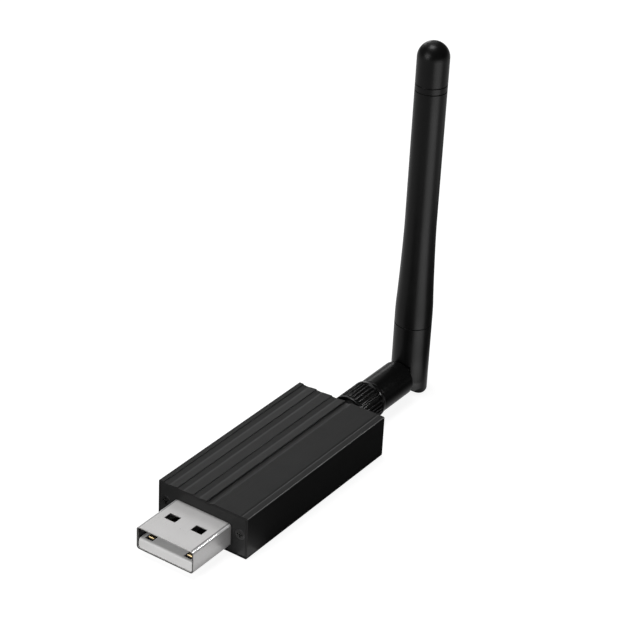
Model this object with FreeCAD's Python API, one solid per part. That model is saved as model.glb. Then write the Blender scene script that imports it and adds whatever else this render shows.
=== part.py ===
"""Radio stick: an extruded housing with a type A plug at one end and a jointed rod antenna at the other.

Frame, in millimetres: the origin is the centre of the housing's underside, +X runs from the plug
to the antenna, +Z is up. The stick lies on its underside with the antenna folded up.
"""
import FreeCAD
import Part

import math
import os

from FreeCAD import Vector

# housing, one extruded aluminium profile
BODY_LENGTH = 41.0
BODY_WIDTH = 19.0
BODY_HEIGHT = 8.3
SIDE_WALL = 1.1
TOP_WALL = 1.3
FLOOR = 1.0
CAVITY_CORNER = 0.5
LEFT_EDGE_RADIUS = 0.35
RIGHT_EDGE_RADIUS = 0.22
BOTTOM_EDGE_RADIUS = 0.35

# ridges on the top, as distances from the left edge, which is at +Y
RIDGE_CRESTS = (1.10, 4.02, 7.45)
RIDGE_FALL = 1.10
RIDGE_STEP = 0.13
RIDGE_STEP_RUN = 0.05
RIDGE_DEPTH = 0.23
RIDGE_BOW = 0.3
CHANNEL_START = 10.30
CHANNEL_WIDTH = 1.55
CHANNEL_FLAT = 0.42
CHANNEL_DEPTH = 0.40
CHANNEL_STEP_RUN = 0.05
CHANNEL_FOOT_RUN = 0.10
CHANNEL_BOW = 0.38
LINE_FROM_RIGHT = 1.40
LINE_WIDTH = 0.36
LINE_DEPTH = 0.15

# end plates, each set into a milled recess in the housing's end
PLATE_THICKNESS = 0.9
PLATE_SIDE_RIM = 0.35
PLATE_TOP_RIM = 0.42
PLATE_DIP = 0.22
PLATE_CORNER = 0.4
PLATE_GAP = 0.05

# plate screws and the screw channels that they cut into
SCREW_FROM_SIDE = 1.6
SCREW_HEIGHT = 4.5
SCREW_RADIUS = 0.6
SCREW_LENGTH = 5.0
SCREW_HEAD_RADIUS = 1.0
SCREW_HEAD_DEPTH = 0.5
SCREW_CROSS_LENGTH = 1.25
SCREW_CROSS_WIDTH = 0.3
SCREW_CROSS_DEPTH = 0.3
SCREW_CLEARANCE = 0.03
SCREW_CHANNEL_WALL = 0.63
SCREW_CHANNEL_MOUTH = 0.8

# circuit board
BOARD_THICKNESS = 1.0
BOARD_HEIGHT = 2.2
BOARD_EDGE_GAP = 0.2
BOARD_SLOT_GAP = 0.05
BOARD_END_GAP = 0.15
BOARD_LEDGE = 0.7

# type A plug
PLUG_WIDTH = 12.0
PLUG_THICKNESS = 4.5
PLUG_SHEET = 0.25
PLUG_CORNER = 0.6
PLUG_REACH = 10.2
PLUG_INSIDE = 7.5
PLUG_HEIGHT = 3.5
PLUG_HOLE_GAP = 0.08
WINDOW_WIDTH = 2.15
WINDOW_LENGTH = 1.7
WINDOW_SPACING = 5.6
WINDOW_FROM_TIP = 5.65
SEAM_WIDTH = 0.1
TONGUE_THICKNESS = 1.85
TONGUE_FROM_TIP = 0.2
TONGUE_SIDE_GAP = 0.1
TONGUE_CHAMFER = 0.25
PLUG_MOUTH_DEPTH = 8.65
CONTACT_WIDTH = 1.0
CONTACT_THICKNESS = 0.2
CONTACT_PROUD = 0.08
CONTACT_SLOT_GAP = 0.3
OUTER_CONTACT_Y = 4.1
INNER_CONTACT_Y = 1.3
OUTER_CONTACT_FROM_TIP = 1.4
INNER_CONTACT_FROM_TIP = 2.9
CONTACT_TAIL = 2.2
CONTACT_WELL = 0.55
CONTACT_WELL_FROM_BLOCK = 1.0
CONTACT_WELL_GAP = 0.05

# parts on the circuit board
MODULE_LENGTH = 15.0
MODULE_WIDTH = 11.0
MODULE_THICKNESS = 0.8
PART_SPACE = 0.6
CHANNEL_SPACE = 0.3
CAN_LENGTH = 10.4
CAN_WIDTH = 9.4
CAN_HEIGHT = 1.8
CAN_SHEET = 0.2
CAN_CORNER = 0.6
BRIDGE_SIZE = 4.0
BRIDGE_THICKNESS = 0.85
REGULATOR_LENGTH = 1.6
REGULATOR_WIDTH = 2.9
REGULATOR_THICKNESS = 1.1
CRYSTAL_LENGTH = 2.5
CRYSTAL_WIDTH = 3.2
CRYSTAL_THICKNESS = 0.8
CHIP_PIECE_LENGTH = 1.6
CHIP_PIECE_WIDTH = 0.8
CHIP_PIECE_THICKNESS = 0.7
CHIP_PIECE_PITCH = 1.6
CHIP_PIECE_COUNT = 4

# threaded jack
AXIS_HEIGHT = 3.76
JACK_NECK_RADIUS = 2.4
JACK_NECK_INSIDE = 4.6
JACK_THREAD_RADIUS = 3.175
JACK_REACH = 7.5
JACK_CAVITY_RADIUS = 2.32
JACK_CAVITY_DEPTH = 2.0
JACK_TIP_CHAMFER = 0.3
JACK_BACK_WALL = 0.8
JACK_BACK_HOLE = 0.8
JACK_LEG_RADIUS = 0.3
JACK_LEG_LENGTH = 2.3
JACK_UPPER_LEG_Y = 1.3
JACK_LOWER_LEG_Y = 1.0
JACK_HOLE_GAP = 0.05
DIELECTRIC_RADIUS = 2.05
JACK_PIN_RADIUS = 0.45
JACK_PIN_TAIL_RADIUS = 0.35
JACK_PIN_TAIL_LENGTH = 2.6
JACK_PIN_STANDS = 1.6
WASHER_THICKNESS = 0.4
WASHER_RADIUS = 3.45
WASHER_GAP = 0.03

# coupling nut of the antenna
NUT_GAP = 2.4
NUT_LENGTH = 7.1
NUT_RADIUS = 3.7
NUT_THREAD_GAP = 0.035
NUT_LIP = 1.0
NUT_RIM = 0.7
NUT_FRONT_RING = 0.5
NUT_REAR_RING = 0.4
NUT_RING_DEPTH = 0.22
NUT_EDGE = 0.15
RIB_COUNT = 30
RIB_GROOVE_WIDTH = 0.36
RIB_GROOVE_FLOOR = 0.15
RIB_GROOVE_DEPTH = 0.2

# antenna plug inside the nut
FERRULE_GAP = 0.04
FERRULE_SEAT_GAP = 0.05
SHOULDER_RADIUS = 3.1
SHOULDER_THICKNESS = 0.75
SHOULDER_GAP = 0.05
NECK_RADIUS = 2.5
TURN_GAP = 0.06
SNAP_RADIUS = 2.8
SNAP_THICKNESS = 0.8
SNAP_CHAMFER = 0.3
SNAP_INSIDE = 1.3
PLUG_BACK_WALL = 0.3
SOCKET_RADIUS = 0.65
SOCKET_LENGTH = 4.6
SOCKET_FROM_SEAT = 0.2
SOCKET_PIN_GAP = 0.03
SOCKET_DEPTH = 2.4
PLUG_DIELECTRIC_FROM_SEAT = 0.7

# lower arm of the antenna
BASE_GAP = 0.2
BASE_LENGTH = 9.6
BASE_RADIUS = 3.45
BASE_EDGE = 0.3
BASE_END_WALL = 1.2
BASE_CABLE_BORE = 1.2
TONGUE_EAR_OUTER = 1.85
TONGUE_EAR_INNER = 0.8
TONGUE_EAR_RADIUS = 2.4
ELBOW_FROM_BASE = 3.9
ELBOW_PIN_RADIUS = 0.8
ELBOW_PIN_DEPTH = 1.1
ELBOW_PIN_GAP = 0.03

# upper arm of the antenna
BLOCK_RADIUS = 3.55
BLOCK_FLOOR = 0.1
BLOCK_TOP = 14.4
BLOCK_HEEL_RADIUS = 1.4
SEAM_EDGE = 0.1
FORK_GAP = 0.1
FORK_TURN_GAP = 0.15
BLOCK_BORE = 1.9
SPIGOT_LENGTH = 3.0
SPIGOT_GAP = 0.03
SLEEVE_WALL = 0.7
SLEEVE_TIP_RADIUS = 2.965
SLEEVE_STRAIGHT_FROM = 36.0
SLEEVE_TOP = 61.85
SLEEVE_TIP_WALL = 0.65
SLEEVE_TAPER_INSIDE = 33.0
CAP_LENGTH = 9.15
CAP_GROOVE_FROM_SEAM = 1.25
CAP_GROOVE_WIDTH = 0.25
CAP_GROOVE_DEPTH = 0.12
CAP_SPIGOT_LENGTH = 3.0

# the sleeve's flare, as heights above the block and shares of the way from its radius to the tip's
SLEEVE_FLARE = (
    (2.1, 0.0),
    (4.2, 0.085),
    (6.4, 0.273),
    (8.6, 0.427),
    (10.8, 0.564),
    (12.9, 0.684),
    (17.0, 0.889),
)

# parts inside the antenna
CABLE_RADIUS = 0.6
CABLE_GAP = 0.03
CABLE_BEND = 2.4
CABLE_TOP = 40.9
DIPOLE_RADIUS = 2.0
DIPOLE_WALL = 0.25
DIPOLE_BOTTOM = 18.5
DIPOLE_TOP = 40.6
RADIATOR_RADIUS = 0.45
RADIATOR_IN_CAP = 1.6

# how far a cut runs past the piece, and past a face that it opens by a little
PAST = 1.0
JUST_PAST = 0.1

# planes and places that follow from the values above
FRONT = -BODY_LENGTH / 2
REAR = BODY_LENGTH / 2
LEFT = BODY_WIDTH / 2
PLUG_TIP = FRONT - PLUG_REACH
PLUG_BACK = FRONT + PLUG_INSIDE
PLUG_BOTTOM = PLUG_HEIGHT - PLUG_THICKNESS / 2
TONGUE_TOP = PLUG_BOTTOM + PLUG_SHEET + TONGUE_THICKNESS
BOARD_TOP = BOARD_HEIGHT + BOARD_THICKNESS
CAVITY_HALF = BODY_WIDTH / 2 - SIDE_WALL
CAVITY_TOP = BODY_HEIGHT - TOP_WALL
SCREW_SPACING = BODY_WIDTH - 2 * SCREW_FROM_SIDE
JACK_BACK = REAR - JACK_NECK_INSIDE
JACK_SHOULDER = REAR + WASHER_THICKNESS
JACK_TIP = REAR + JACK_REACH
JACK_SEAT = JACK_TIP - JACK_CAVITY_DEPTH
NUT_FRONT = REAR + NUT_GAP
NUT_BACK = NUT_FRONT + NUT_LENGTH
NUT_BORE = JACK_THREAD_RADIUS + NUT_THREAD_GAP
LIP_FRONT = NUT_BACK - NUT_LIP
RIMS_FRONT = NUT_FRONT + NUT_RIM
RIMS_BACK = NUT_BACK - NUT_RIM
RIBS_FRONT = RIMS_FRONT + NUT_FRONT_RING
RIBS_BACK = RIMS_BACK - NUT_REAR_RING
SHOULDER_BACK = LIP_FRONT - SHOULDER_GAP
BASE_FRONT = NUT_BACK + BASE_GAP
BASE_BACK = BASE_FRONT + BASE_LENGTH
SNAP_FRONT = BASE_FRONT + SNAP_INSIDE
SNAP_BACK = SNAP_FRONT + SNAP_THICKNESS
PLUG_BORE_END = SNAP_FRONT - PLUG_BACK_WALL
ELBOW_X = BASE_BACK + ELBOW_FROM_BASE
SLEEVE_BORE = BLOCK_RADIUS - SLEEVE_WALL
SLEEVE_TIP_BORE = SLEEVE_TIP_RADIUS - SLEEVE_TIP_WALL
SPIGOT_TOP = BLOCK_TOP + SPIGOT_LENGTH
CAP_SPIGOT_BOTTOM = SLEEVE_TOP - CAP_SPIGOT_LENGTH
CAP_TOP = SLEEVE_TOP + CAP_LENGTH
CAP_GROOVE_HEIGHT = SLEEVE_TOP + CAP_GROOVE_FROM_SEAM

SCREW_CHANNEL_EDGE = SCREW_SPACING / 2 - SCREW_RADIUS - SCREW_CLEARANCE - SCREW_CHANNEL_WALL
PARTS_EDGE = SCREW_CHANNEL_EDGE - CHANNEL_SPACE
BRIDGE_X = PLUG_BACK + CONTACT_TAIL + PART_SPACE + BRIDGE_SIZE / 2
CAPACITOR_X = BRIDGE_X + BRIDGE_SIZE / 2 + PART_SPACE + CHIP_PIECE_LENGTH / 2
REGULATOR_Y = PARTS_EDGE - REGULATOR_WIDTH / 2
CRYSTAL_Y = -PARTS_EDGE + CRYSTAL_WIDTH / 2
MODULE_X = JACK_BACK - JACK_LEG_LENGTH - PART_SPACE - MODULE_LENGTH / 2
CAN_X = MODULE_X + (MODULE_LENGTH - CAN_LENGTH) / 2 - PART_SPACE
LED_X = JACK_BACK - CHIP_PIECE_LENGTH / 2
LED_Y = PARTS_EDGE - CHIP_PIECE_WIDTH / 2

ALONG = Vector(1, 0, 0)
ACROSS = Vector(0, 1, 0)
UP = Vector(0, 0, 1)


def box(x, y, z):
    """A box between pairs of limits along each axis."""
    return Part.makeBox(x[1] - x[0], y[1] - y[0], z[1] - z[0], Vector(x[0], y[0], z[0]))


def rod(x0, x1, radius, y=0.0, z=AXIS_HEIGHT):
    """A cylinder along X."""
    return Part.makeCylinder(radius, x1 - x0, Vector(x0, y, z), ALONG)


def post(z0, z1, radius, x=ELBOW_X, y=0.0):
    """A cylinder along Z."""
    return Part.makeCylinder(radius, z1 - z0, Vector(x, y, z0), UP)


def turned_along(points):
    """A ring turned about the antenna axis, from (x, radius) corners."""
    wire = Part.makePolygon([Vector(x, 0, AXIS_HEIGHT + r) for x, r in points + points[:1]])
    return Part.Face(wire).revolve(Vector(0, 0, AXIS_HEIGHT), ALONG, 360)


def turned_upright(points):
    """A ring turned about the upper arm's axis, from (radius, z) corners."""
    wire = Part.makePolygon([Vector(ELBOW_X + r, 0, z) for r, z in points + points[:1]])
    return Part.Face(wire).revolve(Vector(ELBOW_X, 0, 0), UP, 360)


class Outline:
    """A closed outline across the housing, drawn in distances from the left edge and heights."""

    def __init__(self, u, z):
        self.edges = []
        self.first = self.last = self.place(u, z)

    @staticmethod
    def place(u, z):
        """The point at a distance from the left edge and a height, at X = 0."""
        return Vector(0, LEFT - u, z)

    def line(self, u, z):
        """Draws a straight line to a point."""
        end = self.place(u, z)
        self.edges.append(Part.LineSegment(self.last, end).toShape())
        self.last = end

    def arc(self, middle, end):
        """Draws an arc through a middle point to an end point."""
        through = self.place(*middle)
        stop = self.place(*end)
        self.edges.append(Part.Arc(self.last, through, stop).toShape())
        self.last = stop

    def corner(self, centre, radius, start, stop):
        """Draws a quarter round about a centre, between two angles in degrees."""
        points = []
        for angle in ((start + stop) / 2, stop):
            turn = math.radians(angle)
            points.append((centre[0] + radius * math.cos(turn), centre[1] + radius * math.sin(turn)))
        self.arc(*points)

    def prism(self, x0, x1):
        """Closes the outline and runs it from x0 to x1."""
        if self.last.distanceToPoint(self.first) > 1e-6:
            self.edges.append(Part.LineSegment(self.last, self.first).toShape())
        face = Part.Face(Part.Wire(self.edges))
        face.translate(Vector(x0, 0, 0))
        return face.extrude(Vector(x1 - x0, 0, 0))


def draw_ridges(outline):
    """Draws the three ridges: a short drop, a rounded fall, then a long rise to the next crest."""
    for crest in RIDGE_CRESTS:
        outline.line(crest, BODY_HEIGHT)
        foot = (crest + RIDGE_STEP_RUN, BODY_HEIGHT - RIDGE_STEP)
        trough = (crest + RIDGE_FALL, BODY_HEIGHT - RIDGE_DEPTH)
        middle = ((foot[0] + trough[0]) / 2, foot[1] - (foot[1] - trough[1]) * RIDGE_BOW)
        outline.line(*foot)
        outline.arc(middle, trough)


def draw_channel(outline):
    """Draws the wide channel: a steep side, a narrow floor and a hollow rise."""
    end = CHANNEL_START + CHANNEL_WIDTH
    floor = BODY_HEIGHT - CHANNEL_DEPTH
    flat_end = CHANNEL_START + CHANNEL_FLAT
    outline.line(CHANNEL_START, BODY_HEIGHT)
    outline.line(CHANNEL_START + CHANNEL_STEP_RUN, floor + CHANNEL_STEP_RUN)
    outline.line(CHANNEL_START + CHANNEL_STEP_RUN + CHANNEL_FOOT_RUN, floor)
    outline.line(flat_end, floor)
    outline.arc(((flat_end + end) / 2, floor + CHANNEL_DEPTH * CHANNEL_BOW), (end, BODY_HEIGHT))


def draw_line_groove(outline):
    """Draws the thin groove along the right side."""
    middle = BODY_WIDTH - LINE_FROM_RIGHT
    outline.line(middle - LINE_WIDTH / 2, BODY_HEIGHT)
    outline.line(middle, BODY_HEIGHT - LINE_DEPTH)
    outline.line(middle + LINE_WIDTH / 2, BODY_HEIGHT)


def housing_outline():
    """The outer outline of the extrusion."""
    left, right, low = LEFT_EDGE_RADIUS, RIGHT_EDGE_RADIUS, BOTTOM_EDGE_RADIUS
    outline = Outline(0, BODY_HEIGHT - left)
    outline.corner((left, BODY_HEIGHT - left), left, 180, 90)
    draw_ridges(outline)
    draw_channel(outline)
    draw_line_groove(outline)
    outline.line(BODY_WIDTH - right, BODY_HEIGHT)
    outline.corner((BODY_WIDTH - right, BODY_HEIGHT - right), right, 90, 0)
    outline.line(BODY_WIDTH, low)
    outline.corner((BODY_WIDTH - low, low), low, 0, -90)
    outline.line(low, 0)
    outline.corner((low, low), low, -90, -180)
    return outline


def plate_outline(gap):
    """The outline of an end plate, or of its recess where the gap is 0."""
    side = PLATE_SIDE_RIM + gap
    top = BODY_HEIGHT - PLATE_TOP_RIM - gap
    right = BODY_WIDTH - side
    dip_start = CHANNEL_START - gap
    dip_end = CHANNEL_START + CHANNEL_FLAT + PLATE_DIP + gap
    round_corner = PLATE_CORNER
    outline = Outline(side, top - round_corner)
    outline.corner((side + round_corner, top - round_corner), round_corner, 180, 90)
    outline.line(dip_start - PLATE_DIP, top)
    outline.line(dip_start, top - PLATE_DIP)
    outline.line(dip_end, top - PLATE_DIP)
    outline.line(dip_end + 2 * PLATE_DIP, top)
    outline.line(right - round_corner, top)
    outline.corner((right - round_corner, top - round_corner), round_corner, 90, 0)
    outline.line(right, side + round_corner)
    outline.corner((right - round_corner, side + round_corner), round_corner, 0, -90)
    outline.line(side + round_corner, side)
    outline.corner((side + round_corner, side + round_corner), round_corner, -90, -180)
    return outline


def rounded_bar(x, half_width, z, radius):
    """A bar along X with rounded long edges."""
    bar = box(x, (-half_width, half_width), z)
    long_edges = [e for e in bar.Edges if abs(e.tangentAt(e.FirstParameter).x) > 0.9]
    return bar.makeFillet(radius, long_edges)


def screw_places():
    """The Y of each plate screw."""
    return (SCREW_SPACING / 2, -SCREW_SPACING / 2)


def screw_channel(y):
    """One screw channel as a solid ring, its hole and its mouth."""
    inner = SCREW_RADIUS + SCREW_CLEARANCE
    outer = inner + SCREW_CHANNEL_WALL
    ring = rod(FRONT, REAR, outer, y, SCREW_HEIGHT)
    hole = rod(FRONT, REAR, inner, y, SCREW_HEIGHT)
    towards = -math.copysign(1, y)
    mouth_y = sorted((y, y + towards * (outer + JUST_PAST)))
    half = SCREW_CHANNEL_MOUTH / 2
    mouth = box((FRONT, REAR), mouth_y, (SCREW_HEIGHT - half, SCREW_HEIGHT + half))
    return ring, hole.fuse(mouth)


def board_ledge(side):
    """One ledge that the circuit board slides on, at side +1 or -1."""
    y = sorted((side * (CAVITY_HALF - BOARD_LEDGE), side * (CAVITY_HALF + SIDE_WALL / 2)))
    return box((FRONT, REAR), y, (FLOOR / 2, BOARD_HEIGHT - BOARD_SLOT_GAP))


def housing_extrusion():
    """The housing: outline, cavity, board ledges, screw channels and the end recesses."""
    body = housing_outline().prism(FRONT, REAR)
    body = body.cut(rounded_bar((FRONT - PAST, REAR + PAST), CAVITY_HALF, (FLOOR, CAVITY_TOP), CAVITY_CORNER))
    body = body.fuse([board_ledge(1), board_ledge(-1)])
    cuts = []
    for y in screw_places():
        ring, hole = screw_channel(y)
        body = body.fuse(ring)
        cuts.append(hole)
    cuts.append(plate_outline(0).prism(FRONT - PAST, FRONT + PLATE_THICKNESS))
    cuts.append(plate_outline(0).prism(REAR - PLATE_THICKNESS, REAR + PAST))
    return body.cut(cuts).removeSplitter()


def screw_head(x, outwards, y, gap):
    """A countersunk head with its face at x, grown by a gap."""
    wide = SCREW_HEAD_RADIUS + gap
    narrow = SCREW_RADIUS + gap
    return Part.makeCone(wide, narrow, SCREW_HEAD_DEPTH, Vector(x, y, SCREW_HEIGHT), Vector(-outwards, 0, 0))


def end_plate(x, outwards):
    """A plate with its face at x, with two countersunk holes."""
    low, high = sorted((x, x - outwards * PLATE_THICKNESS))
    plate = plate_outline(PLATE_GAP).prism(low, high)
    hole_radius = SCREW_RADIUS + SCREW_CLEARANCE
    cuts = []
    for y in screw_places():
        cuts.append(screw_head(x, outwards, y, SCREW_CLEARANCE))
        cuts.append(rod(low - PAST, high + PAST, hole_radius, y, SCREW_HEIGHT))
    return plate.cut(cuts)


def front_plate():
    """The plate that the plug stands out of."""
    hole = rounded_bar(
        (FRONT - PAST, FRONT + PLATE_THICKNESS + PAST),
        PLUG_WIDTH / 2 + PLUG_HOLE_GAP,
        (PLUG_BOTTOM - PLUG_HOLE_GAP, PLUG_BOTTOM + PLUG_THICKNESS + PLUG_HOLE_GAP),
        PLUG_CORNER + PLUG_HOLE_GAP,
    )
    return end_plate(FRONT, -1).cut(hole)


def rear_plate():
    """The plate that the jack's neck passes through."""
    hole = rod(REAR - PLATE_THICKNESS - PAST, REAR + PAST, JACK_NECK_RADIUS + JACK_HOLE_GAP)
    return end_plate(REAR, 1).cut(hole)


def plate_screw(x, outwards, y):
    """A countersunk screw with a cross recess, its head's face at x."""
    tip = x - outwards * SCREW_LENGTH
    shank = rod(min(x, tip), max(x, tip), SCREW_RADIUS, y, SCREW_HEIGHT)
    screw = shank.fuse(screw_head(x, outwards, y, 0))
    floor = x - outwards * SCREW_CROSS_DEPTH
    depth = sorted((floor, x + outwards * PAST))
    long, wide = SCREW_CROSS_LENGTH / 2, SCREW_CROSS_WIDTH / 2
    flat = box(depth, (y - long, y + long), (SCREW_HEIGHT - wide, SCREW_HEIGHT + wide))
    tall = box(depth, (y - wide, y + wide), (SCREW_HEIGHT - long, SCREW_HEIGHT + long))
    return screw.cut([flat, tall])


def plate_screws(x, outwards):
    """Both screws of one plate, as separate solids."""
    return Part.makeCompound([plate_screw(x, outwards, y) for y in screw_places()])


def plug_shell():
    """The folded sheet shell with two windows above, two below and the seam below."""
    z = (PLUG_BOTTOM, PLUG_BOTTOM + PLUG_THICKNESS)
    half = PLUG_WIDTH / 2
    shell = rounded_bar((PLUG_TIP, PLUG_BACK), half, z, PLUG_CORNER)
    inner_z = (z[0] + PLUG_SHEET, z[1] - PLUG_SHEET)
    inner_x = (PLUG_TIP - PAST, PLUG_BACK + PAST)
    cuts = [rounded_bar(inner_x, half - PLUG_SHEET, inner_z, PLUG_CORNER - PLUG_SHEET)]
    middle = PLUG_TIP + WINDOW_FROM_TIP
    for side in (1, -1):
        y = side * WINDOW_SPACING / 2
        window_y = (y - WINDOW_WIDTH / 2, y + WINDOW_WIDTH / 2)
        window_x = (middle - WINDOW_LENGTH / 2, middle + WINDOW_LENGTH / 2)
        cuts.append(box(window_x, window_y, (z[0] - PAST, z[1] + PAST)))
    seam = (-SEAM_WIDTH / 2, SEAM_WIDTH / 2)
    cuts.append(box(inner_x, seam, (z[0] - PAST, inner_z[0] + JUST_PAST)))
    return shell.cut(cuts)


def contact_lines():
    """The Y and the front end of each of the four contacts."""
    outer = PLUG_TIP + OUTER_CONTACT_FROM_TIP
    inner = PLUG_TIP + INNER_CONTACT_FROM_TIP
    return (
        (OUTER_CONTACT_Y, outer),
        (INNER_CONTACT_Y, inner),
        (-INNER_CONTACT_Y, inner),
        (-OUTER_CONTACT_Y, outer),
    )


def contact_height():
    """The underside of the contacts' straight run."""
    return TONGUE_TOP - CONTACT_THICKNESS + CONTACT_PROUD


def plug_tongue():
    """The moulded insert: the tongue, the block that closes the shell behind it, and contact wells."""
    half = PLUG_WIDTH / 2 - PLUG_SHEET - TONGUE_SIDE_GAP
    low = PLUG_BOTTOM + PLUG_SHEET
    high = PLUG_BOTTOM + PLUG_THICKNESS - PLUG_SHEET
    front = PLUG_TIP + TONGUE_FROM_TIP
    insert = rounded_bar((front, PLUG_BACK), half, (low, high), PLUG_CORNER - PLUG_SHEET)
    mouth = (PLUG_TIP, PLUG_TIP + PLUG_MOUTH_DEPTH)
    nose = [
        Vector(front, -PLUG_WIDTH, TONGUE_TOP - TONGUE_CHAMFER),
        Vector(front + TONGUE_CHAMFER, -PLUG_WIDTH, TONGUE_TOP),
        Vector(front, -PLUG_WIDTH, TONGUE_TOP),
    ]
    cuts = [
        box(mouth, (-PLUG_WIDTH, PLUG_WIDTH), (TONGUE_TOP, high + PAST)),
        Part.Face(Part.makePolygon(nose + nose[:1])).extrude(Vector(0, 2 * PLUG_WIDTH, 0)),
    ]
    for y, front_x in contact_lines():
        reach = CONTACT_WIDTH / 2 + CONTACT_SLOT_GAP
        well = (front_x - CONTACT_WELL, mouth[1] - CONTACT_WELL_FROM_BLOCK)
        cuts.append(box(well, (y - reach, y + reach), (TONGUE_TOP - CONTACT_WELL, TONGUE_TOP + JUST_PAST)))
        run = (front_x - JUST_PAST, PLUG_BACK + PAST)
        strip = (y - CONTACT_WIDTH / 2, y + CONTACT_WIDTH / 2)
        cuts.append(box(run, strip, (contact_height(), contact_height() + CONTACT_THICKNESS)))
    return insert.cut(cuts).removeSplitter()


def plug_contact(y, front_x):
    """One contact: a strip with its front end bent down, and a tail stepped down to the board."""
    half = CONTACT_WIDTH / 2
    low = contact_height()
    high = low + CONTACT_THICKNESS
    back = PLUG_BACK + CONTACT_TAIL
    foot = BOARD_TOP
    step = PLUG_BACK + CONTACT_TAIL / 2
    drop = CONTACT_WELL - CONTACT_THICKNESS - CONTACT_WELL_GAP
    side = [
        (front_x, high - drop),
        (front_x + CONTACT_THICKNESS, high),
        (step, high),
        (step + CONTACT_THICKNESS, foot + CONTACT_THICKNESS),
        (back, foot + CONTACT_THICKNESS),
        (back, foot),
        (step, foot),
        (step - CONTACT_THICKNESS, low),
        (front_x + CONTACT_THICKNESS, low),
        (front_x, low - drop),
    ]
    wire = Part.makePolygon([Vector(x, y - half, z) for x, z in side + side[:1]])
    return Part.Face(wire).extrude(Vector(0, CONTACT_WIDTH, 0))


def circuit_board():
    """The board, notched round the plug's shell and round the jack's neck."""
    start = FRONT + PLATE_THICKNESS + BOARD_END_GAP
    stop = REAR - PLATE_THICKNESS - BOARD_END_GAP
    half = CAVITY_HALF - BOARD_EDGE_GAP
    board = box((start, stop), (-half, half), (BOARD_HEIGHT, BOARD_TOP))
    plug = PLUG_WIDTH / 2 + PLUG_HOLE_GAP
    jack = JACK_NECK_RADIUS + JACK_HOLE_GAP
    deep = (BOARD_HEIGHT - PAST, BOARD_TOP + PAST)
    front_notch = box((start - PAST, PLUG_BACK + PLUG_HOLE_GAP), (-plug, plug), deep)
    rear_notch = box((JACK_BACK - JACK_HOLE_GAP, stop + PAST), (-jack, jack), deep)
    return board.cut([front_notch, rear_notch])


def on_board(x, y, size, height=0.0):
    """A block of a given length, width and thickness, standing on the board."""
    length, width, thickness = size
    low = BOARD_TOP + height
    limits_x = (x - length / 2, x + length / 2)
    return box(limits_x, (y - width / 2, y + width / 2), (low, low + thickness))


def shield_can():
    """The folded can over the radio chip, open below."""
    outer = on_board(CAN_X, 0, (CAN_LENGTH, CAN_WIDTH, CAN_HEIGHT), MODULE_THICKNESS)
    upright = [e for e in outer.Edges if abs(e.tangentAt(e.FirstParameter).z) > 0.9]
    outer = outer.makeFillet(CAN_CORNER, upright)
    inside = (CAN_LENGTH - 2 * CAN_SHEET, CAN_WIDTH - 2 * CAN_SHEET, CAN_HEIGHT - CAN_SHEET)
    return outer.cut(on_board(CAN_X, 0, inside, MODULE_THICKNESS))


def chip_row(x, y, count):
    """A row of small chip pieces across the board, as separate solids."""
    size = (CHIP_PIECE_LENGTH, CHIP_PIECE_WIDTH, CHIP_PIECE_THICKNESS)
    start = y - (count - 1) * CHIP_PIECE_PITCH / 2
    return Part.makeCompound([on_board(x, start + i * CHIP_PIECE_PITCH, size) for i in range(count)])


def leds():
    """Two small lamps, one at each side of the jack."""
    size = (CHIP_PIECE_LENGTH, CHIP_PIECE_WIDTH, CHIP_PIECE_THICKNESS)
    return Part.makeCompound([on_board(LED_X, LED_Y, size), on_board(LED_X, -LED_Y, size)])


def jack_body():
    """The jack: a neck through the rear plate, legs that clasp the board, and the threaded barrel."""
    thread, chamfer = JACK_THREAD_RADIUS, JACK_TIP_CHAMFER
    wall = JACK_BACK + JACK_BACK_WALL
    body = turned_along([
        (JACK_BACK, JACK_BACK_HOLE),
        (JACK_BACK, JACK_NECK_RADIUS),
        (JACK_SHOULDER, JACK_NECK_RADIUS),
        (JACK_SHOULDER, thread),
        (JACK_TIP - chamfer, thread),
        (JACK_TIP, thread - chamfer),
        (JACK_TIP, JACK_CAVITY_RADIUS),
        (JACK_SEAT, JACK_CAVITY_RADIUS),
        (JACK_SEAT, DIELECTRIC_RADIUS),
        (wall, DIELECTRIC_RADIUS),
        (wall, JACK_BACK_HOLE),
    ])
    legs = []
    leg_start = JACK_BACK - JACK_LEG_LENGTH
    leg_stop = JACK_BACK + JACK_BACK_WALL / 2
    for y, z in (
        (JACK_UPPER_LEG_Y, BOARD_TOP + JACK_LEG_RADIUS),
        (JACK_LOWER_LEG_Y, BOARD_HEIGHT - JACK_LEG_RADIUS),
    ):
        for side in (1, -1):
            legs.append(rod(leg_start, leg_stop, JACK_LEG_RADIUS, side * y, z))
    return body.fuse(legs).removeSplitter()


def jack_dielectric():
    """The insulator inside the jack."""
    start = JACK_BACK + JACK_BACK_WALL
    core = rod(start, JACK_SEAT, DIELECTRIC_RADIUS)
    return core.cut(rod(start - PAST, JACK_SEAT + PAST, JACK_PIN_RADIUS))


def jack_centre_pin():
    """The pin on the jack's axis, with a thinner tail over the board."""
    ball_x = JACK_SEAT + JACK_PIN_STANDS - JACK_PIN_RADIUS
    pin = rod(JACK_BACK, ball_x, JACK_PIN_RADIUS)
    ball = Part.makeSphere(JACK_PIN_RADIUS, Vector(ball_x, 0, AXIS_HEIGHT))
    tail = rod(JACK_BACK - JACK_PIN_TAIL_LENGTH, JACK_BACK, JACK_PIN_TAIL_RADIUS)
    return pin.fuse([ball, tail]).removeSplitter()


def jack_washer():
    """The washer between the rear plate and the jack's barrel."""
    hole = rod(REAR - PAST, JACK_SHOULDER + PAST, JACK_NECK_RADIUS + WASHER_GAP)
    return rod(REAR, JACK_SHOULDER, WASHER_RADIUS).cut(hole)


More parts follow.
